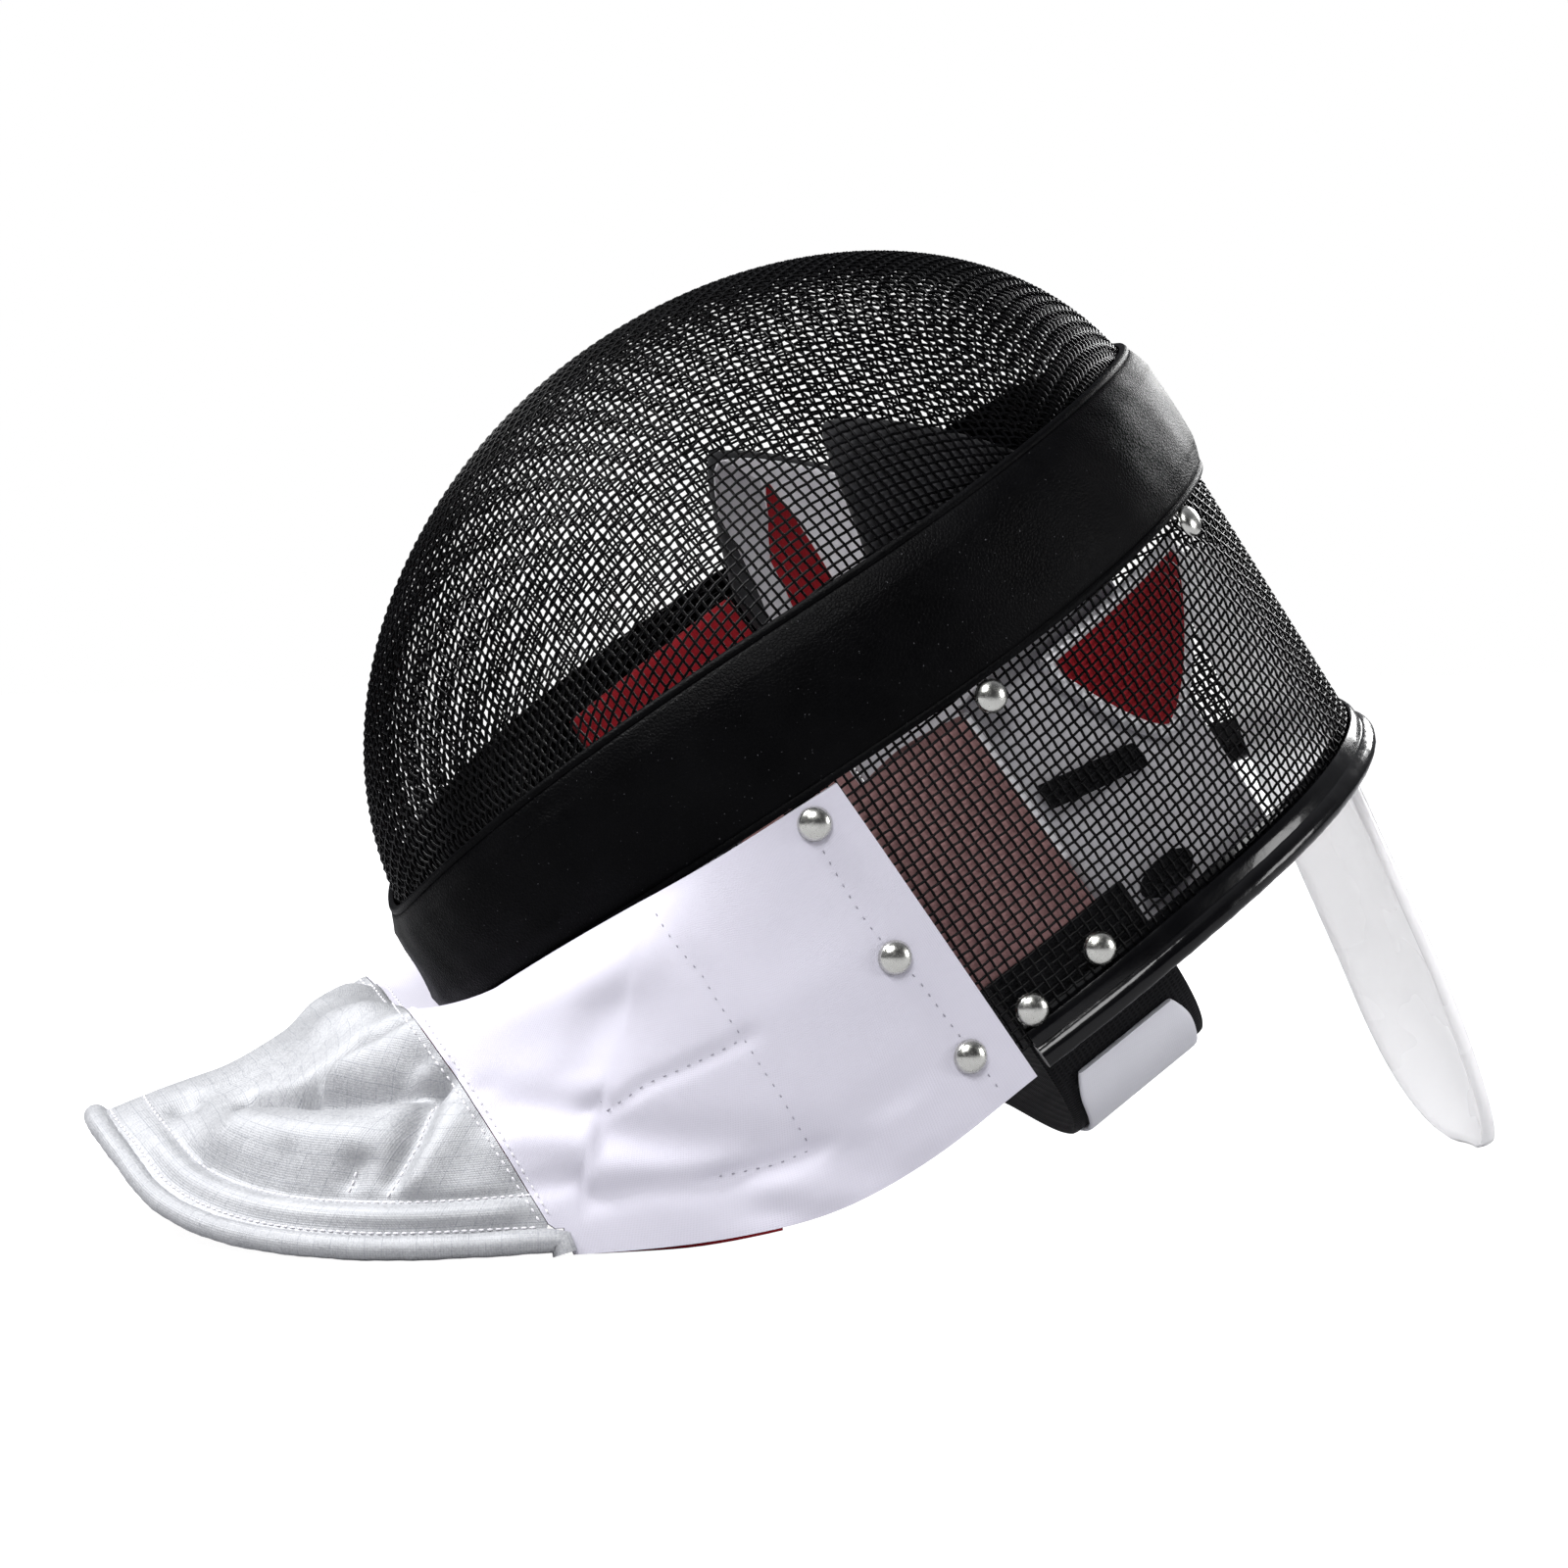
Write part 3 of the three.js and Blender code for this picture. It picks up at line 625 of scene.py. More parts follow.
def trim_band():
    angle = np.linspace(0, 2 * np.pi, 361)[:-1]
    rear = band_rear_edge(angle)
    wide = (band_line(angle) + BAND_FRONT - rear)[:, None]
    # Half the section: distance from the edge and height over the wire, then share of the width and height.
    rise = np.array([
        (0.0, 0.7), (0.05, 1.5), (0.5, 2.15), (1.2, 2.4), (2.0, 2.35), (2.45, 1.95), (2.9, 2.4), (4.0, 2.75),
        (6.5, 3.45), (9.5, 4.1)])
    inside = np.array([(0.22, 4.2), (0.36, 4.25), (0.5, 4.3)])
    near = np.concatenate([np.broadcast_to(rise[:, 0], (len(angle), len(rise))), wide * inside[:, 0]], 1)
    d = np.concatenate([near, wide - near[:, -2::-1]], 1)
    h = np.concatenate([rise[:, 1], inside[:, 1]])
    h = np.concatenate([h, h[-2::-1]])
    order = np.argsort(d, axis=1)
    h = np.take_along_axis(np.broadcast_to(h, d.shape), order, 1)
    d = np.take_along_axis(d, order, 1)
    a = np.broadcast_to(angle[:, None], d.shape)
    z = rear[:, None] + d
    normals = body_normal(a, z)
    middle = smooth(np.minimum(d, wide - d) / 10)
    waves = ((0.16, 9, 0.08), (0.12, 23, -0.11), (0.08, 47, 0.2))
    wave = sum(size * np.sin(turns * a + slant * d) for size, turns, slant in waves)
    outer = body(a, z) + normals * (h + middle * wave)[..., None]
    lift = mix(BAND_HUG, BAND_LIFT, smooth(np.minimum(d, wide - d) / (0.2 * wide)))
    inner = body(a, z) + normals * lift[..., None]
    make_wall("trim_cover", outer, inner, LEATHER, "trim", ["trim_band"], sharp=50, loop=True)


def rim_piping():
    angle = np.linspace(REAR_FROM + 9.5, 350.5 - REAR_FROM, 220) * DEG
    path = body(angle, rim_line(angle) - PIPING_RADIUS - 0.3)
    normals = body_normal(angle, rim_line(angle))
    k = np.arange(220)
    radius = PIPING_RADIUS * (1 + 0.012 * np.sin(k * 0.9) + 0.01 * np.sin(k * 2.3 + 1))
    make("rim_roll", *tube(path, normals, radius, 16), VINYL, "rubber", ["rim_piping"], sharp=60)
    # The flat lips of the piping over and under the wire, the inner one a little wider.
    z0, z1 = rim_line(angle) - LIP_BELOW, rim_line(angle) + LIP_ABOVE
    t = np.linspace(0, 1, 9)
    a = np.broadcast_to(angle[:, None], (220, 9))
    height = 1.5 + 0.25 * np.sin(np.pi * t) - 0.5 * smooth((t - 0.85) / 0.15)
    lips = (("rim_lip", 0.0, height[None, :, None], 0.35), ("rim_inner_lip", INNER_LIP_EXTRA, -1.2, -2.3))
    for name, extra, high, low in lips:
        z = mix(z0[:, None], z1[:, None] + extra, t)
        faces = [body(a, z) + body_normal(a, z) * lift for lift in (high, low)]
        make(name, *shell(*faces), VINYL, "rubber", sharp=50)


# Bib


def hem_at(angle):
    a = np.minimum(np.abs(angle), BIB_ANGLE + 1)
    knots, out = HEM[:, 0], []
    for column in (1, 2, 3):
        value = HEM[:, column]
        slope = np.empty_like(value)
        slope[1:-1] = (value[2:] - value[:-2]) / (knots[2:] - knots[:-2])
        slope[0] = value[1] / knots[1] if column == 1 else 0.0
        slope[-1] = (value[-1] - value[-2]) / (knots[-1] - knots[-2])
        k = np.clip(np.searchsorted(knots, a, side="left"), 1, len(knots) - 1)
        span = knots[k] - knots[k - 1]
        s = (a - knots[k - 1]) / span
        low = (2 * s**3 - 3 * s**2 + 1) * value[k - 1] + (s**3 - 2 * s**2 + s) * slope[k - 1] * span
        out.append(low + (3 * s**2 - 2 * s**3) * value[k] + (s**3 - s**2) * slope[k] * span)
    out[0] = out[0] * np.sign(angle)
    return np.stack(out, -1)


def bib_flat(angle, v):
    drop = BIB_CHIN_DROP * smooth((74 - np.abs(angle)) / 22)
    z = band_rear_edge(angle * DEG) - 0.6
    top = body(angle * DEG, z) + body_normal(angle * DEG, z) * drop[..., None]
    hem = hem_at(angle)
    notch = (2 * BINDING_RADIUS + BINDING_GAP) * smooth((NOTCH_ANGLE - np.abs(angle)) / NOTCH_RAMP)
    low = notch / np.linalg.norm(top - hem, axis=-1)
    return hem + (top - hem) * mix(low, 1, v)[..., None]


def bib_puff(angle, v):
    front = smooth((BIB_ANGLE - 14 - np.abs(angle)) / 24)
    belly = BIB_PUFF * np.sin(np.pi * np.clip(v, 0, 1)) * (1.4 - v)
    crest = BIB_CREST * smooth((50 - np.abs(angle)) / 40) * smooth((v - 0.3) / 0.45) * smooth((1 - v) / 0.25)
    return (belly + crest) * front


def bib_normal(angle, v):
    e = 1e-3
    da = bib_flat(angle + e * 100, v) - bib_flat(angle - e * 100, v)
    dv = bib_flat(angle, v + e) - bib_flat(angle, v - e)
    return unit(np.cross(da, dv))


def bib_at(angle, v, lift=0.0, folds=True):
    """A point of the bib by angle from the chin and share from hem to band, lifted off its inner face."""
    angle, v = np.broadcast_arrays(np.asarray(angle, float), np.asarray(v, float))
    height = bib_puff(angle, v) + lift
    if folds:
        height = height + bib_folds(angle, v)
    return bib_flat(angle, v) + bib_normal(angle, v) * height[..., None]


def ridge(angle, v, path, width, height):
    """A raised or sunk line through points (angle, share) of the bib, mirrored, with soft ends."""
    a = np.abs(angle)
    p = np.stack([a * BIB_MM[0], v * BIB_MM[1]], -1)
    best = np.full(a.shape, 1e9)
    knots = np.array(path, float) * BIB_MM
    for k in range(len(knots) - 1):
        d = knots[k + 1] - knots[k]
        t = np.clip(((p - knots[k]) @ d) / (d @ d), 0, 1)
        gap = p - (knots[k] + t[..., None] * d)
        best = np.minimum(best, (gap**2).sum(-1))
    return height * np.exp(-best / width**2)


# Folds: points as (angle, share), width and height in millimetres.
FOLDS = [
    ([(20, 0.25), (26, 0.28), (33, 0.29)], 11, 7.0),
    ([(24, 0.52), (28, 0.6), (30, 0.67)], 7, 5.0),
    ([(9, 0.66), (13, 0.74)], 8, 3.2),
    ([(42, 0.4), (41.8, 0.28), (41, 0.15)], 5, 2.8),
    ([(14.5, 0.33), (20.5, 0.42), (25.5, 0.425), (31, 0.465), (37, 0.5)], 4.0, -6.4),
    ([(20, 0.44), (21.2, 0.535), (21.5, 0.64), (23.8, 0.74)], 3.8, -5.6),
    ([(6.8, 0.2), (7.2, 0.135), (8.5, 0.1)], 4.5, -3.2),
    ([(32, 0.51), (33.5, 0.575)], 3.4, -2.4),
    ([(37.5, 0.475), (39.5, 0.3), (40, 0.115)], 2.8, -4.4),
    ([(36, 0.21), (36.5, 0.115)], 2.8, -2.4),
    ([(28.5, 0.2), (29, 0.12)], 3.0, -1.0),
    ([(39, 0.7), (45, 0.77), (51, 0.8)], 13, 5.0),
    ([(52, 0.66), (51.5, 0.5)], 6, -1.4),
    ([(43, 0.44), (50, 0.37), (57, 0.3), (65, 0.2)], 6, -2.6),
    ([(49, 0.29), (56, 0.25), (62, 0.2)], 6, 1.8),
    ([(50, 0.13), (57.8, 0.165), (62.5, 0.155), (67, 0.16)], 3.6, -1.6),
    ([(62.5, 0.14), (65.8, 0.02)], 3.6, -1.3),
    ([(66.5, 0.12), (68.5, 0.02)], 4, 1.3),
    ([(69.8, 0.12), (70.8, 0.02)], 4, -1.3),
    ([(72.6, 0.14), (72.4, 0.02)], 4, 1.2),
    ([(70, 0.55), (71.5, 0.3)], 10, 0.9),
]
# Sewn lines on the bib that pull it in, as (angle, share).
HEM_ROW = [(a, HEM_ROW_SHARE) for a in range(-51, 52, 3)]
QUILT = [
    [(54.8, 0.95), (61, 0.71), (64.5, 0.5), (66.5, 0.34), (68.1, 0.17)],
    [(64.2, 0.505), (61, 0.48), (57.2, 0.45), (53.2, 0.365)],
    [(68.1, 0.17), (65.8, 0.16), (62.2, 0.165)],
]
REAR_ROW = [(73.9, 0.88), (74.8, 0.635), (76, 0.42), (76.5, 0.2), (76.8, 0.02)]


def bib_folds(angle, v):
    total = np.zeros(np.shape(angle))
    for path, width, height in FOLDS:
        total = total + ridge(angle, v, path, width, height)
    for path in QUILT:
        total = total + ridge(angle, v, path, 2.2, -0.9)
    silver = smooth((52 - np.abs(angle)) / 3)
    total = total * mix(1, smooth((v - 0.1) / 0.08), silver)
    # The padded border between the hem's two stitch rows, drawn in at the inner row.
    border = 1.5 * np.sin(np.pi * np.clip(v / HEM_ROW_SHARE, 0, 1))
    drawn = 1.2 * np.exp(-((v - HEM_ROW_SHARE) / 0.02) ** 2)
    total = total + silver * smooth(np.abs(angle) / 18) * (border - drawn)
    edge = smooth(v / 0.05) * smooth((1 - v) / 0.06) * smooth((BIB_ANGLE - np.abs(angle)) / 2)
    return total * edge


def seam_share(angle):
    """Where the seam plane crosses each column of the bib, as a share from hem to band."""
    low, high = np.zeros_like(angle), np.ones_like(angle)
    for _ in range(40):
        middle = (low + high) / 2
        p = bib_at(angle, middle, BIB_GAP + BIB_WALL, False)
        under = p[..., 1] - SEAM_LEAN * p[..., 2] - SEAM_Y < 0
        low, high = np.where(under, middle, low), np.where(under, high, middle)
    return (low + high) / 2


def bib_sheet(name, angle, v0, v1, material, slot, replaces):
    """One sheet of the bib between two lines of shares."""
    v = mix(v0[:, None], v1[:, None], np.linspace(0, 1, 70))
    a = np.broadcast_to(angle[:, None], v.shape)
    outer, inner = bib_at(a, v, BIB_GAP + BIB_WALL), bib_at(a, v, BIB_GAP)
    return make_wall(name, outer, inner, material, slot, [replaces])


def bib():
    wide = np.linspace(-BIB_ANGLE, BIB_ANGLE, 301)
    seam = seam_share(wide)
    low = np.where(seam > 1e-6, seam + SEAM_GAP, 0.0)
    collar = bib_sheet("bib_white", wide, low, np.ones_like(wide), WHITE, "white", "bib_collar")
    reachable = wide[seam > 0.004]
    edge = min(-reachable[0], reachable[-1])
    cols = np.linspace(-edge, edge, 261)
    top = np.maximum(seam_share(cols) - SEAM_GAP, 0.003)
    front = bib_sheet("bib_silver", cols, np.full_like(cols, SILVER_FROM), top, LAME, "lame", "bib_front")
    return collar, front


def bib_lining():
    angle = np.linspace(-LINING_ANGLE, LINING_ANGLE, 161)
    t = np.linspace(0, 1, 50)
    fringe = -0.004 - 0.008 * smooth((np.abs(angle) - 57) / 5)
    low = mix(0.03, fringe, smooth((np.abs(angle) - 53.5) / 3))
    a = np.broadcast_to(angle[:, None], (161, 50))
    v = mix(low[:, None], 0.9, t)
    sag = LINING_SAG * smooth((np.abs(a) - 3) / 5) * smooth((27 - np.abs(a)) / 7) * smooth((0.25 - v) / 0.22)
    outer, inner = bib_at(a, v, -LINING_GAP - sag), bib_at(a, v, -LINING_GAP - LINING_WALL - sag)
    return make_wall("bib_red_lining", outer, inner, RED, "red", ["bib_lining"])


def hem_binding():
    angle = np.linspace(-BINDING_ANGLE, BINDING_ANGLE, 241)
    edge = bib_at(angle, 0.0, BIB_GAP + BIB_WALL / 2)
    down = unit(edge - bib_at(angle, 0.05))
    out = bib_normal(angle, 0.0)
    tucked = out * BINDING_TUCK * smooth((36 - np.abs(angle)) / 14)[:, None]
    path = edge + down * (BINDING_RADIUS + BINDING_GAP) - tucked + FLOOR_UP * BINDING_RAISE
    k = np.arange(241)
    radius = BINDING_RADIUS * (1 + 0.02 * np.sin(k * 0.55) + 0.015 * np.sin(k * 1.7 + 2))
    points, faces = tube(path, out, radius, 16)
    round_it = np.arange(16) / 16 * 2 * np.pi * BINDING_RADIUS
    uv = np.stack(np.broadcast_arrays(lengths(path)[:, None], round_it[None]), -1).reshape(-1, 2) / 10
    return make("hem_roll", points, faces, LAME, "lame", ["hem_binding"], uv, sharp=60)


def stitches(name, rows, material, slot):
    """Rows of short threads: each row is points, normals, thread length, step, radius."""
    gather = Gather()
    for path, normals, length, step, radius in rows:
        run = lengths(path)
        for at in np.arange(step / 2, run[-1] - length / 2, step):
            s = at + np.linspace(-0.5, 0.5, 5) * length
            n = unit(along_path(s, run, normals))
            spot = along_path(s, run, path) + n * (radius * np.array([-0.7, 0.25, 0.5, 0.25, -0.7]))[:, None]
            gather.add(*tube(spot, n, radius * np.array([0.45, 0.95, 1.0, 0.95, 0.45]), 5))
    make(name, *gather.out(), material, slot)


def bib_line(path, count):
    """Points and normals along a line (angle, share) on the outer face of the bib."""
    knots = np.array(path, float)
    run = lengths(knots * BIB_MM)
    angle, v = along_path(np.linspace(0, run[-1], count), run, knots).T
    return bib_at(angle, v, BIB_GAP + BIB_WALL), bib_normal(angle, v)


# Tongue, strap, pads, rivets


def catmull(points, count):
    """Centripetal curve through points."""
    p = np.asarray(points, float)
    p = np.concatenate([[2 * p[0] - p[1]], p, [2 * p[-1] - p[-2]]])
    out, n = [], len(p) - 3
    for at in np.linspace(0, n, count):
        k = min(int(at), n - 1)
        t = at - k
        q = p[k:k + 4]
        knots = np.concatenate([[0], np.cumsum(np.sqrt(np.linalg.norm(np.diff(q, axis=0), axis=1)))])
        x = mix(knots[1], knots[2], t)
        for level in range(1, 4):
            q = [((knots[i + level] - x) * q[i] + (x - knots[i]) * q[i + 1]) / (knots[i + level] - knots[i])
                 for i in range(4 - level)]
        out.append(q[0])
    return np.array(out)


def tongue():
    line = catmull(np.stack([0 * TONGUE[:, 0], TONGUE[:, 1], TONGUE[:, 0]], -1), 140)
    line[-1] = (0, TONGUE[-1, 1], TONGUE[-1, 0])
    z = line[:, 2]
    order = TONGUE[::-1]
    tip = [TONGUE[-1, 0] - 1.2, 0.6, 0]
    rows = np.concatenate([np.stack([TONGUE[:, 0], TONGUE[:, 2], 0 * TONGUE[:, 0]], -1), [tip]])
    outline = catmull(rows, 600)[::-1]
    half = np.interp(z, outline[:, 0], outline[:, 1])
    cup = np.interp(z, order[:, 0], order[:, 3])
    u = np.concatenate([np.linspace(-1, -0.86, 8), np.linspace(-0.82, 0.82, 33), np.linspace(0.86, 1, 8)])
    across = half[:, None] * u
    grid = np.stack([across, line[:, 1][:, None] - cup[:, None] * (across / 33) ** 2,
                     np.broadcast_to(z[:, None], across.shape)], -1).transpose(1, 0, 2)
    normals = unit(np.cross(np.gradient(grid, axis=0), np.gradient(grid, axis=1)))
    side_gap = (half[:, None] * (1 - np.abs(u))).T
    end_gap = np.broadcast_to(np.linalg.norm(line - line[-1], axis=1)[None], side_gap.shape)
    gap = np.minimum(side_gap, end_gap)
    bead = 0.75 * np.exp(-((gap - 1.6) / 1.2) ** 2)
    thick = 1.3 * np.sqrt(np.clip(gap / 0.9, 0.12, 1)) + bead
    outer, inner = grid + normals * thick[..., None], grid - normals * thick[..., None]
    uv = np.concatenate([grid_uv(grid)] * 2)
    make("rear_tongue", *shell(outer, inner), PLASTIC, "plastic", ["tongue"], uv, sharp=70)


def strap_path():
    both = np.concatenate([STRAP[::-1] * np.array([-1.0, 1.0]), STRAP[1:]])
    path = catmull(np.stack([both[:, 0], 0 * both[:, 0], both[:, 1]], -1), 800)
    run = lengths(path)
    return lambda share: along_path(share * run[-1], run, path)


def strap():
    at = strap_path()

    def sheet(share, width, low, high, round_end=0.0):
        line = at(share)
        t = unit(np.gradient(line, axis=0))
        # Away from the head.
        out = unit(np.cross(np.array([0.0, 1.0, 0.0]), t))
        v = np.concatenate([[-1, -0.985, -0.95], np.linspace(-0.88, 0.88, 15), [0.95, 0.985, 1]])
        edge = np.array([0.35, 0.75, 0.95] + [1.0] * 15 + [0.95, 0.75, 0.35])
        squeeze = np.ones(len(share))
        if round_end:
            ends = np.minimum(np.arange(len(share)), np.arange(len(share))[::-1]) / round_end
            squeeze = 1 - 0.16 * (1 - np.clip(ends, 0, 1)) ** 2
        middle, half = (low + high) / 2, (high - low) / 2
        rows = np.array([0.0, 1.0, 0.0]) * (STRAP_Y + v[None, :, None] * width / 2 * squeeze[:, None, None])
        base = line[:, None] + rows
        return [base + out[:, None] * (middle + sign * half * edge)[None, :, None] for sign in (1, -1)]

    share = np.linspace(0, 1, 181)
    outer, inner = sheet(share, STRAP_WIDTH, -STRAP_WALL / 2, STRAP_WALL / 2)
    band = make_wall("back_strap", outer, inner, ELASTIC, "tab", ["strap"], sharp=50)
    low = STRAP_WALL / 2 + PATCH_GAP
    patches = []
    for mark, a, b in (("l", PATCH_FROM, PATCH_TO), ("r", 1 - PATCH_TO, 1 - PATCH_FROM)):
        outer, inner = sheet(np.linspace(a, b, 41), PATCH_WIDTH, low, low + PATCH_WALL, 9)
        replaced = ["strap_patch_" + mark]
        patches.append(make_wall("strap_label_" + mark, outer, inner, PATCH, "white", replaced, sharp=50))
    return band, patches


def pad_at(name, side, u, v):
    """Outer and inner face of a pad and the wire's normal, by shares along and across it."""
    y0, y1, z0, z1, deep, thick, peak, tip = PADS[name]
    off = np.where(u < tip, 1 - u / tip, (u - tip) / (1 - tip))
    top = mix(z0, z1, 1 - peak * np.maximum(0, off) ** 1.5)
    a, z = angle_at(mix(y0, y1, u)), mix(z0, top, v)
    p, n = body(a, z), body_normal(a, z)
    p[..., 0] *= side
    n[..., 0] *= side
    pillow = 0.35 + 0.65 * np.sqrt(np.maximum(0, 1 - np.maximum(np.abs(2 * u - 1), np.abs(2 * v - 1)) ** 4))
    faces = [p - n * (deep + thick / 2 + sign * thick * pillow / 2)[..., None] for sign in (-1, 1)]
    return *faces, n


def patch(name, side, left, right, low, high):
    """A thin piece on a pad's inner face between two lines of (u, v)."""
    t = np.linspace(0, 1, 25)
    edges = [along_path(t, np.linspace(0, 1, len(e)), np.array(e)) for e in (left, right)]
    grid = mix(edges[0][:, None], edges[1][:, None], np.linspace(0, 1, 13)[None, :, None])
    _, inner, n = pad_at(name, side, grid[..., 0], grid[..., 1])
    return inner - n * low, inner - n * high


def pads():
    looks = {
        "cheek_pad": (RED, "red"), "temple_pad": (SHADED_PAD_BACK, "tab"), "side_panel": (PINK, "pink"),
        "rear_pad": (PADDING, "pad"), "leaf_pad": (RED, "red"),
        "grip_tab": (ELASTIC, "tab"), "grip_spot": (ELASTIC, "tab"),
    }
    # On the temple pad's inner face: left and right edge as (u, v), lower and upper height, look.
    layers = {
        "face": ([(0.02, 0.02), (0.1, 0.34), (0.15, 0.66), (0.19, 0.98)],
                 [(0.98, 0.02), (0.98, 0.98)], -1.0, 0.4, EDGING, "pad"),
        # The wall is the left part of the white binding, which lies in shade, and it takes the darker
        # grey-white padding: painted shade.
        "wall": ([(0.02, 0.03), (0.1, 0.34), (0.15, 0.66), (0.19, 0.97), (0.42, 0.98)],
                 [(0.21, 0.02), (0.245, 0.23), (0.27, 0.42), (0.4, 0.57), (0.5, 0.82)],
                 -0.6, 0.7, PADDING, "pad"),
        "inlay": ([(0.21, 0.02), (0.245, 0.23), (0.27, 0.42), (0.4, 0.57), (0.51, 0.79)],
                  [(0.49, 0.02), (0.5, 0.2), (0.51, 0.4), (0.52, 0.6), (0.53, 0.8)], -0.6, 0.9, RED, "red"),
    }
    u, v = np.meshgrid(np.linspace(0, 1, 37), np.linspace(0, 1, 29), indexing="ij")
    for mark, side in (("l", 1), ("r", -1)):
        for name, (material, slot) in looks.items():
            across, along = u, v
            if name == "grip_spot":
                a, b = 2 * u - 1, 2 * v - 1
                across, along = 0.5 + a * np.sqrt(1 - b * b / 2) / 2, 1.0 + b * np.sqrt(1 - a * a / 2) / 2
            if name == "grip_tab":
                along = v + mix(0.6, -0.5, u)
            if name == "side_panel":
                along = mix(-0.028, 1, v)
            outer, inner, n = pad_at(name, side, across, along)
            piece = make_wall(f"{name}_soft_{mark}", outer, inner, material, slot, [f"{name}_{mark}"],
                              flip=side < 0)
            if name.startswith("grip"):
                continue
            middle = (outer + inner) / 2
            if name == "side_panel":
                made = tube(middle[-1, 6:], n[-1, 6:], 1.5, 8)
                make(f"{name}_edge_{mark}", *made, EDGING, "pad")
            if name == "leaf_pad":
                ring = [np.concatenate([g[:, 0], g[-1, 1:], g[-2::-1, -1], g[0, -2:0:-1]])
                        for g in (middle, n)]
                make(f"{name}_edge_{mark}", *tube(*ring, 2.2, 8, closed=True), EDGING, "pad")
        for layer, (left, right, low, high, material, slot) in layers.items():
            back, face = patch("temple_pad", side, left, right, low, high)
            piece = make_wall(f"temple_pad_{layer}_{mark}", face, back, material, slot, flip=side > 0)


def rivets():
    profile = [(0.0, 0.0), (RIVET_RADIUS, 0.0), (RIVET_RADIUS + 0.15, 0.25), (RIVET_RADIUS, 0.5)]
    for k in range(1, 11):
        a = k / 10 * 90 * DEG
        profile.append((RIVET_RADIUS * math.cos(a), 0.5 + (RIVET_HEIGHT - 0.5) * math.sin(a)))
    profile[-1] = (0.0, RIVET_HEIGHT)
    profile = np.array(profile)
    m = 32
    turn = np.arange(m) / m * 2 * np.pi
    seats = {}
    for name, (y, z) in WIRE_RIVETS.items():
        a = angle_at(y)
        n = body_normal(a, float(z))
        seats[name] = (body(a, float(z)) + n * RIVET_SEAT, n)
    for name, (angle, share) in BIB_RIVETS.items():
        n = bib_normal(np.array(angle), np.array(share))
        seats[name] = (bib_at(angle, share, BIB_GAP + BIB_WALL + RIVET_SEAT), n)
    for name, (at, n) in seats.items():
        for mark, side in (("l", 1), ("r", -1)):
            flip = np.array([side, 1.0, 1.0])
            axis = n * flip
            e1 = unit(np.cross(axis, [0.3, 0.5, 0.8]))
            e2 = np.cross(axis, e1)
            rows = [at * flip + axis * h + r * (np.cos(turn)[:, None] * e1 + np.sin(turn)[:, None] * e2)
                    for r, h in profile[1:-1]]
            points = np.concatenate(rows + [[at * flip], [at * flip + axis * RIVET_HEIGHT]])
            count, replaced = len(profile) - 2, [f"{name}_{mark}"]
            j = np.arange(m)
            l = (j + 1) % m
            quads = np.concatenate([np.stack([r * m + j, r * m + l, (r + 1) * m + l, (r + 1) * m + j], -1)
                                    for r in range(count - 1)])
            low = np.stack([np.full(m, count * m), l, j], -1)
            high = np.stack([np.full(m, count * m + 1), (count - 1) * m + j, (count - 1) * m + l], -1)
            make(f"{name}_cap_{mark}", points, [quads, low, high], CHROME, "chrome", replaced, sharp=60)


front_wire()
rear_wire()
trim_band()
rim_piping()
collar, silver = bib()
lining = bib_lining()
roll = hem_binding()
tongue()
band, patches = strap()
pads()
rivets()

# Stitches: thread length, step and radius of each kind.
SILVER_STITCH, QUILT_STITCH, SEAM_STITCH = (1.7, 2.3, 0.36), (1.1, 3.6, 0.24), (1.6, 2.6, 0.32)
DARTS = [[(37.6, 0.46), (39.5, 0.3), (40, 0.12)], [(36, 0.2), (36.5, 0.12)]]
outer_row = [(a, 0.006) for a in range(-53, 54, 3)]
silver_rows = [(*bib_line(path, 400), *SILVER_STITCH) for path in (HEM_ROW, outer_row)]
white_rows, seam_rows = [], []
for side in (1, -1):
    for path in DARTS:
        silver_rows.append((*bib_line([(a * side, v) for a, v in path], 80), *SILVER_STITCH))
    for path in QUILT + [REAR_ROW]:
        white_rows.append((*bib_line([(a * side, v) for a, v in path], 160), *QUILT_STITCH))
seam_angles = np.linspace(-52.5, 52.5, 400)
for step in (0.022, -0.022):
    row = np.stack([seam_angles, np.maximum(0.004, seam_share(seam_angles) + step)], -1)
    seam_rows.append((*bib_line(row, 600), *SEAM_STITCH))
stitches("silver_stitches", silver_rows, THREAD_WHITE, "white")
stitches("quilt_stitches", white_rows, THREAD_GREY, "white")
stitches("seam_stitches", seam_rows, THREAD_WHITE, "white")

# Floor, light and camera


def stage():
    mesh = bpy.data.meshes.new("floor")
    r = 12.0
    mesh.from_pydata([(-r, -r, 0), (r, -r, 0), (r, r, 0), (-r, r, 0)], [], [(0, 1, 2, 3)])
    floor = linked("floor", mesh)
    s = Surface("floor_pale", Roughness=0.9, Specular_IOR_Level=0.1, Base_Color=(0.36, 0.36, 0.37, 1),
                Emission_Color=(1, 1, 1, 1))
    seen = s.node("ShaderNodeLightPath").outputs["Is Camera Ray"]
    s.feed("Emission Strength", s.range(seen, 0, 1, 0, 0.97))
    mesh.materials.append(s.material)


def light(name, at, towards, size, power):
    data = bpy.data.lights.new(name, "AREA")
    data.shape = "RECTANGLE"
    data.size, data.size_y = size
    data.energy = power
    back = unit(np.array(at) - np.array(towards))
    right = unit(np.cross([0, 0, 1.0], back))
    linked(name, data, (right, np.cross(back, right), back), at).visible_camera = False


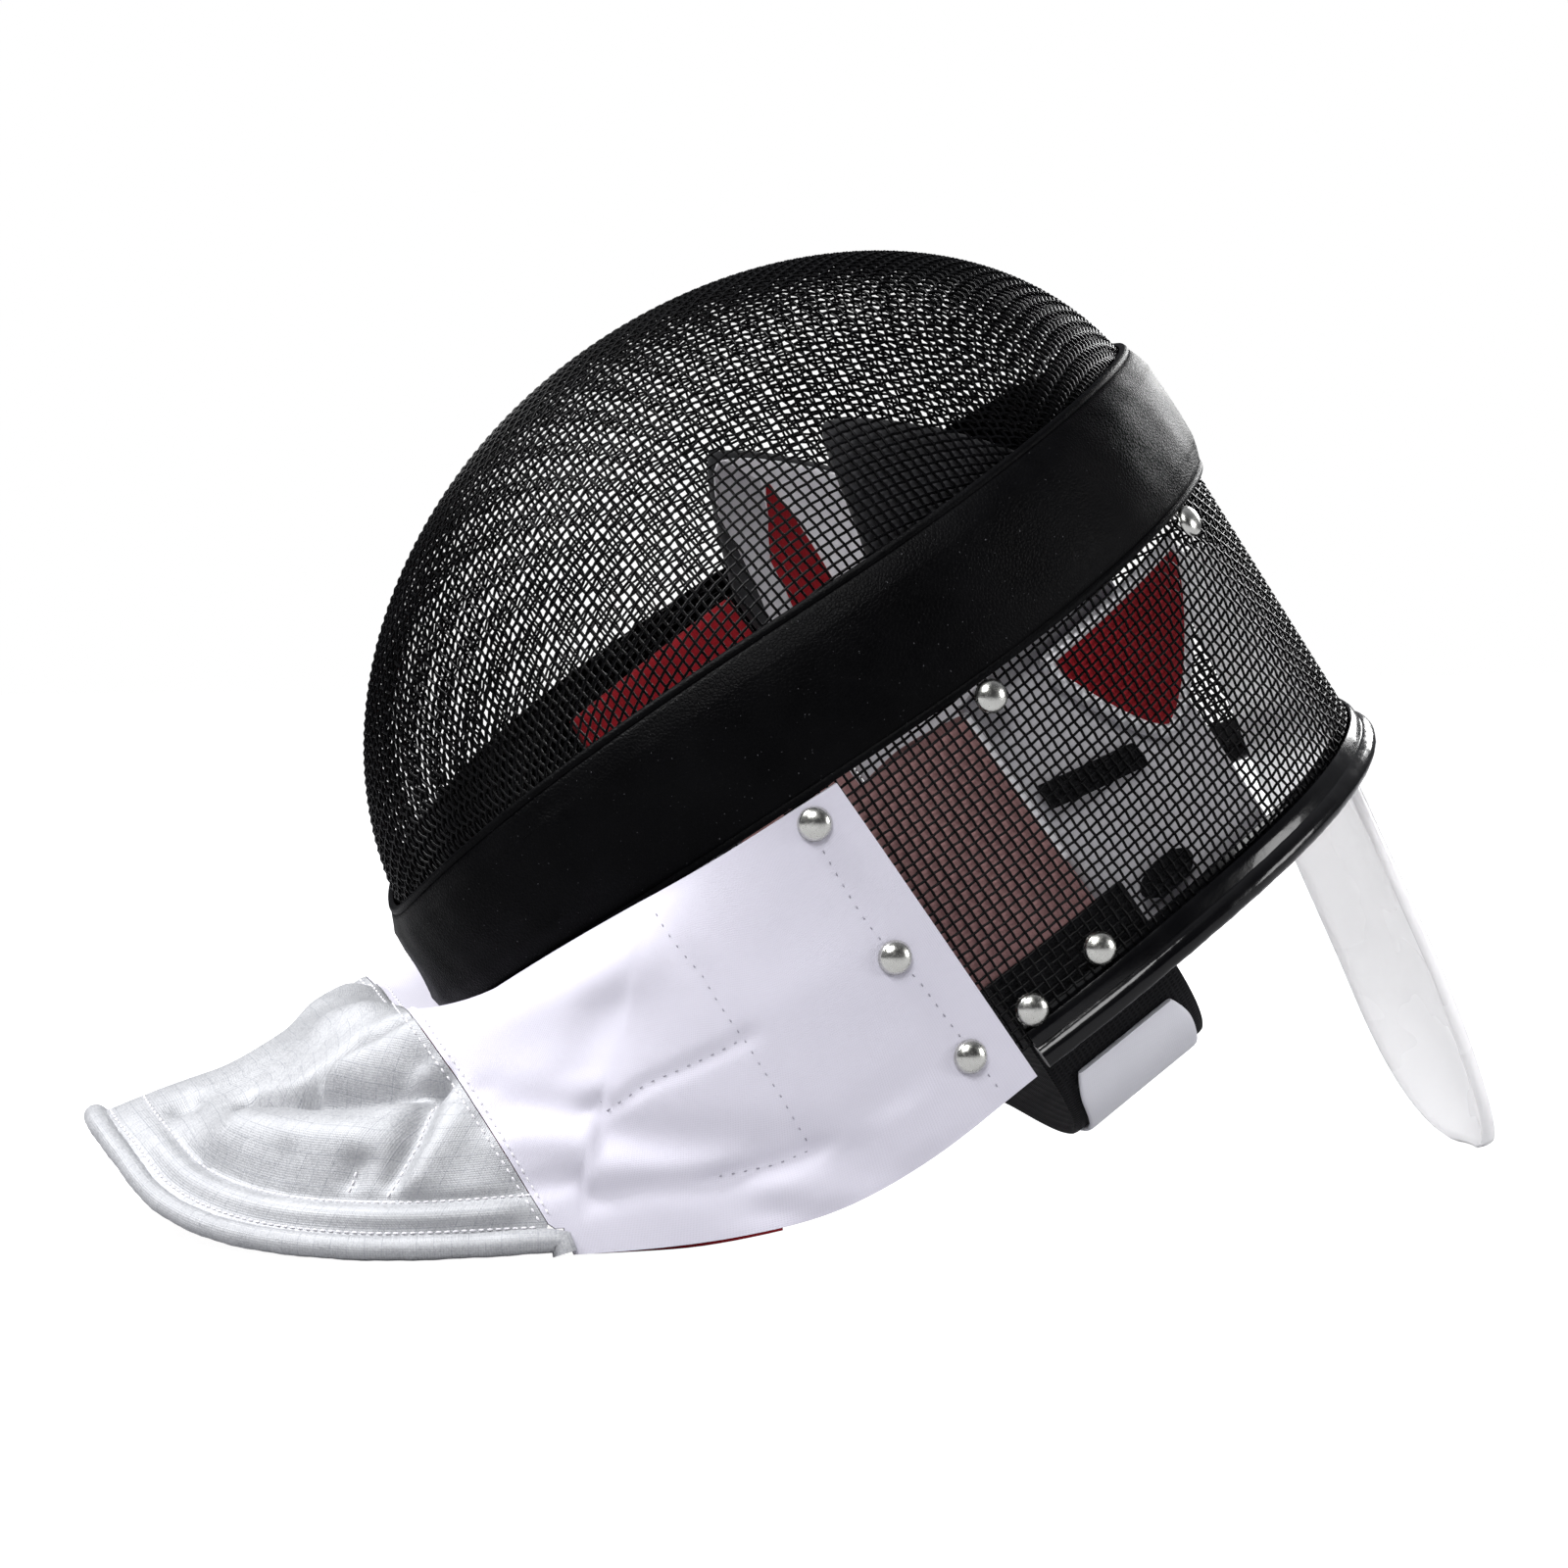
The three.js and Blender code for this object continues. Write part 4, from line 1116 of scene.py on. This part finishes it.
def studio():
    sky = bpy.data.worlds.new("studio")
    bpy.context.scene.world = sky
    sky.use_nodes = True
    nodes, links = sky.node_tree.nodes, sky.node_tree.links
    nodes.clear()
    out = nodes.new("ShaderNodeOutputWorld")
    seen, felt = nodes.new("ShaderNodeBackground"), nodes.new("ShaderNodeBackground")
    seen.inputs["Color"].default_value, seen.inputs["Strength"].default_value = (1, 1, 1, 1), 1.0
    coords, axes = nodes.new("ShaderNodeTexCoord"), nodes.new("ShaderNodeSeparateXYZ")
    links.new(coords.outputs["Generated"], axes.inputs[0])
    # Brighter overhead, dim from the side that the part is seen from.
    both = nodes.new("ShaderNodeMath")
    both.operation = "MULTIPLY"
    for slot, (axis, *span) in enumerate((("Z", 0.0, 1.0, 0.1, 0.4), ("X", 0.0, 0.7, 1.0, 0.12))):
        graded = nodes.new("ShaderNodeMapRange")
        links.new(axes.outputs[axis], graded.inputs["Value"])
        for socket, value in zip(("From Min", "From Max", "To Min", "To Max"), span):
            graded.inputs[socket].default_value = value
        links.new(graded.outputs["Result"], both.inputs[slot])
    felt.inputs["Color"].default_value = (0.94, 0.95, 1, 1)
    links.new(both.outputs[0], felt.inputs["Strength"])
    path, pick = nodes.new("ShaderNodeLightPath"), nodes.new("ShaderNodeMixShader")
    links.new(path.outputs["Is Camera Ray"], pick.inputs["Fac"])
    links.new(felt.outputs[0], pick.inputs[1])
    links.new(seen.outputs[0], pick.inputs[2])
    links.new(pick.outputs[0], out.inputs["Surface"])
    light("key", (1.65, -0.7, 1.7), (0, -0.02, 0.12), (1.0, 1.0), 50)
    light("top", (0.0, -1.3, 1.8), (0, -0.05, 0.12), (0.7, 0.7), 78)
    light("back", (-1.1, 1.3, 0.9), (0, 0.1, 0.2), (0.8, 0.6), 26)
    light("fill", (0.9, 1.7, 0.5), (0, 0.05, 0.12), (0.6, 0.6), 14)
    view = bpy.context.scene.view_settings
    view.view_transform = "Standard"
    view.look = "None"


def camera():
    turn, lift, roll = VIEW_TURN * DEG, VIEW_LIFT * DEG, VIEW_ROLL * DEG
    right = np.array([math.sin(turn), math.cos(turn), 0])
    up = np.array([-math.cos(turn) * math.sin(lift), math.sin(turn) * math.sin(lift), math.cos(lift)])
    back = np.cross(right, up)
    aim = np.array([0, MASK_AT[0] + VIEW_AIM[0], MASK_AT[1] + VIEW_AIM[1]]) / 1000
    x = right * math.cos(roll) + up * math.sin(roll)
    y = up * math.cos(roll) - right * math.sin(roll)
    data = bpy.data.cameras.new("camera")
    data.sensor_width = SENSOR
    data.lens = SENSOR * (VIEW_DISTANCE / PIXEL) / PICTURE
    data.clip_start, data.clip_end = 0.01, 100
    bpy.context.scene.camera = linked("camera", data, (x, y, back), aim + VIEW_DISTANCE / 1000 * back)


stage()
studio()
camera()
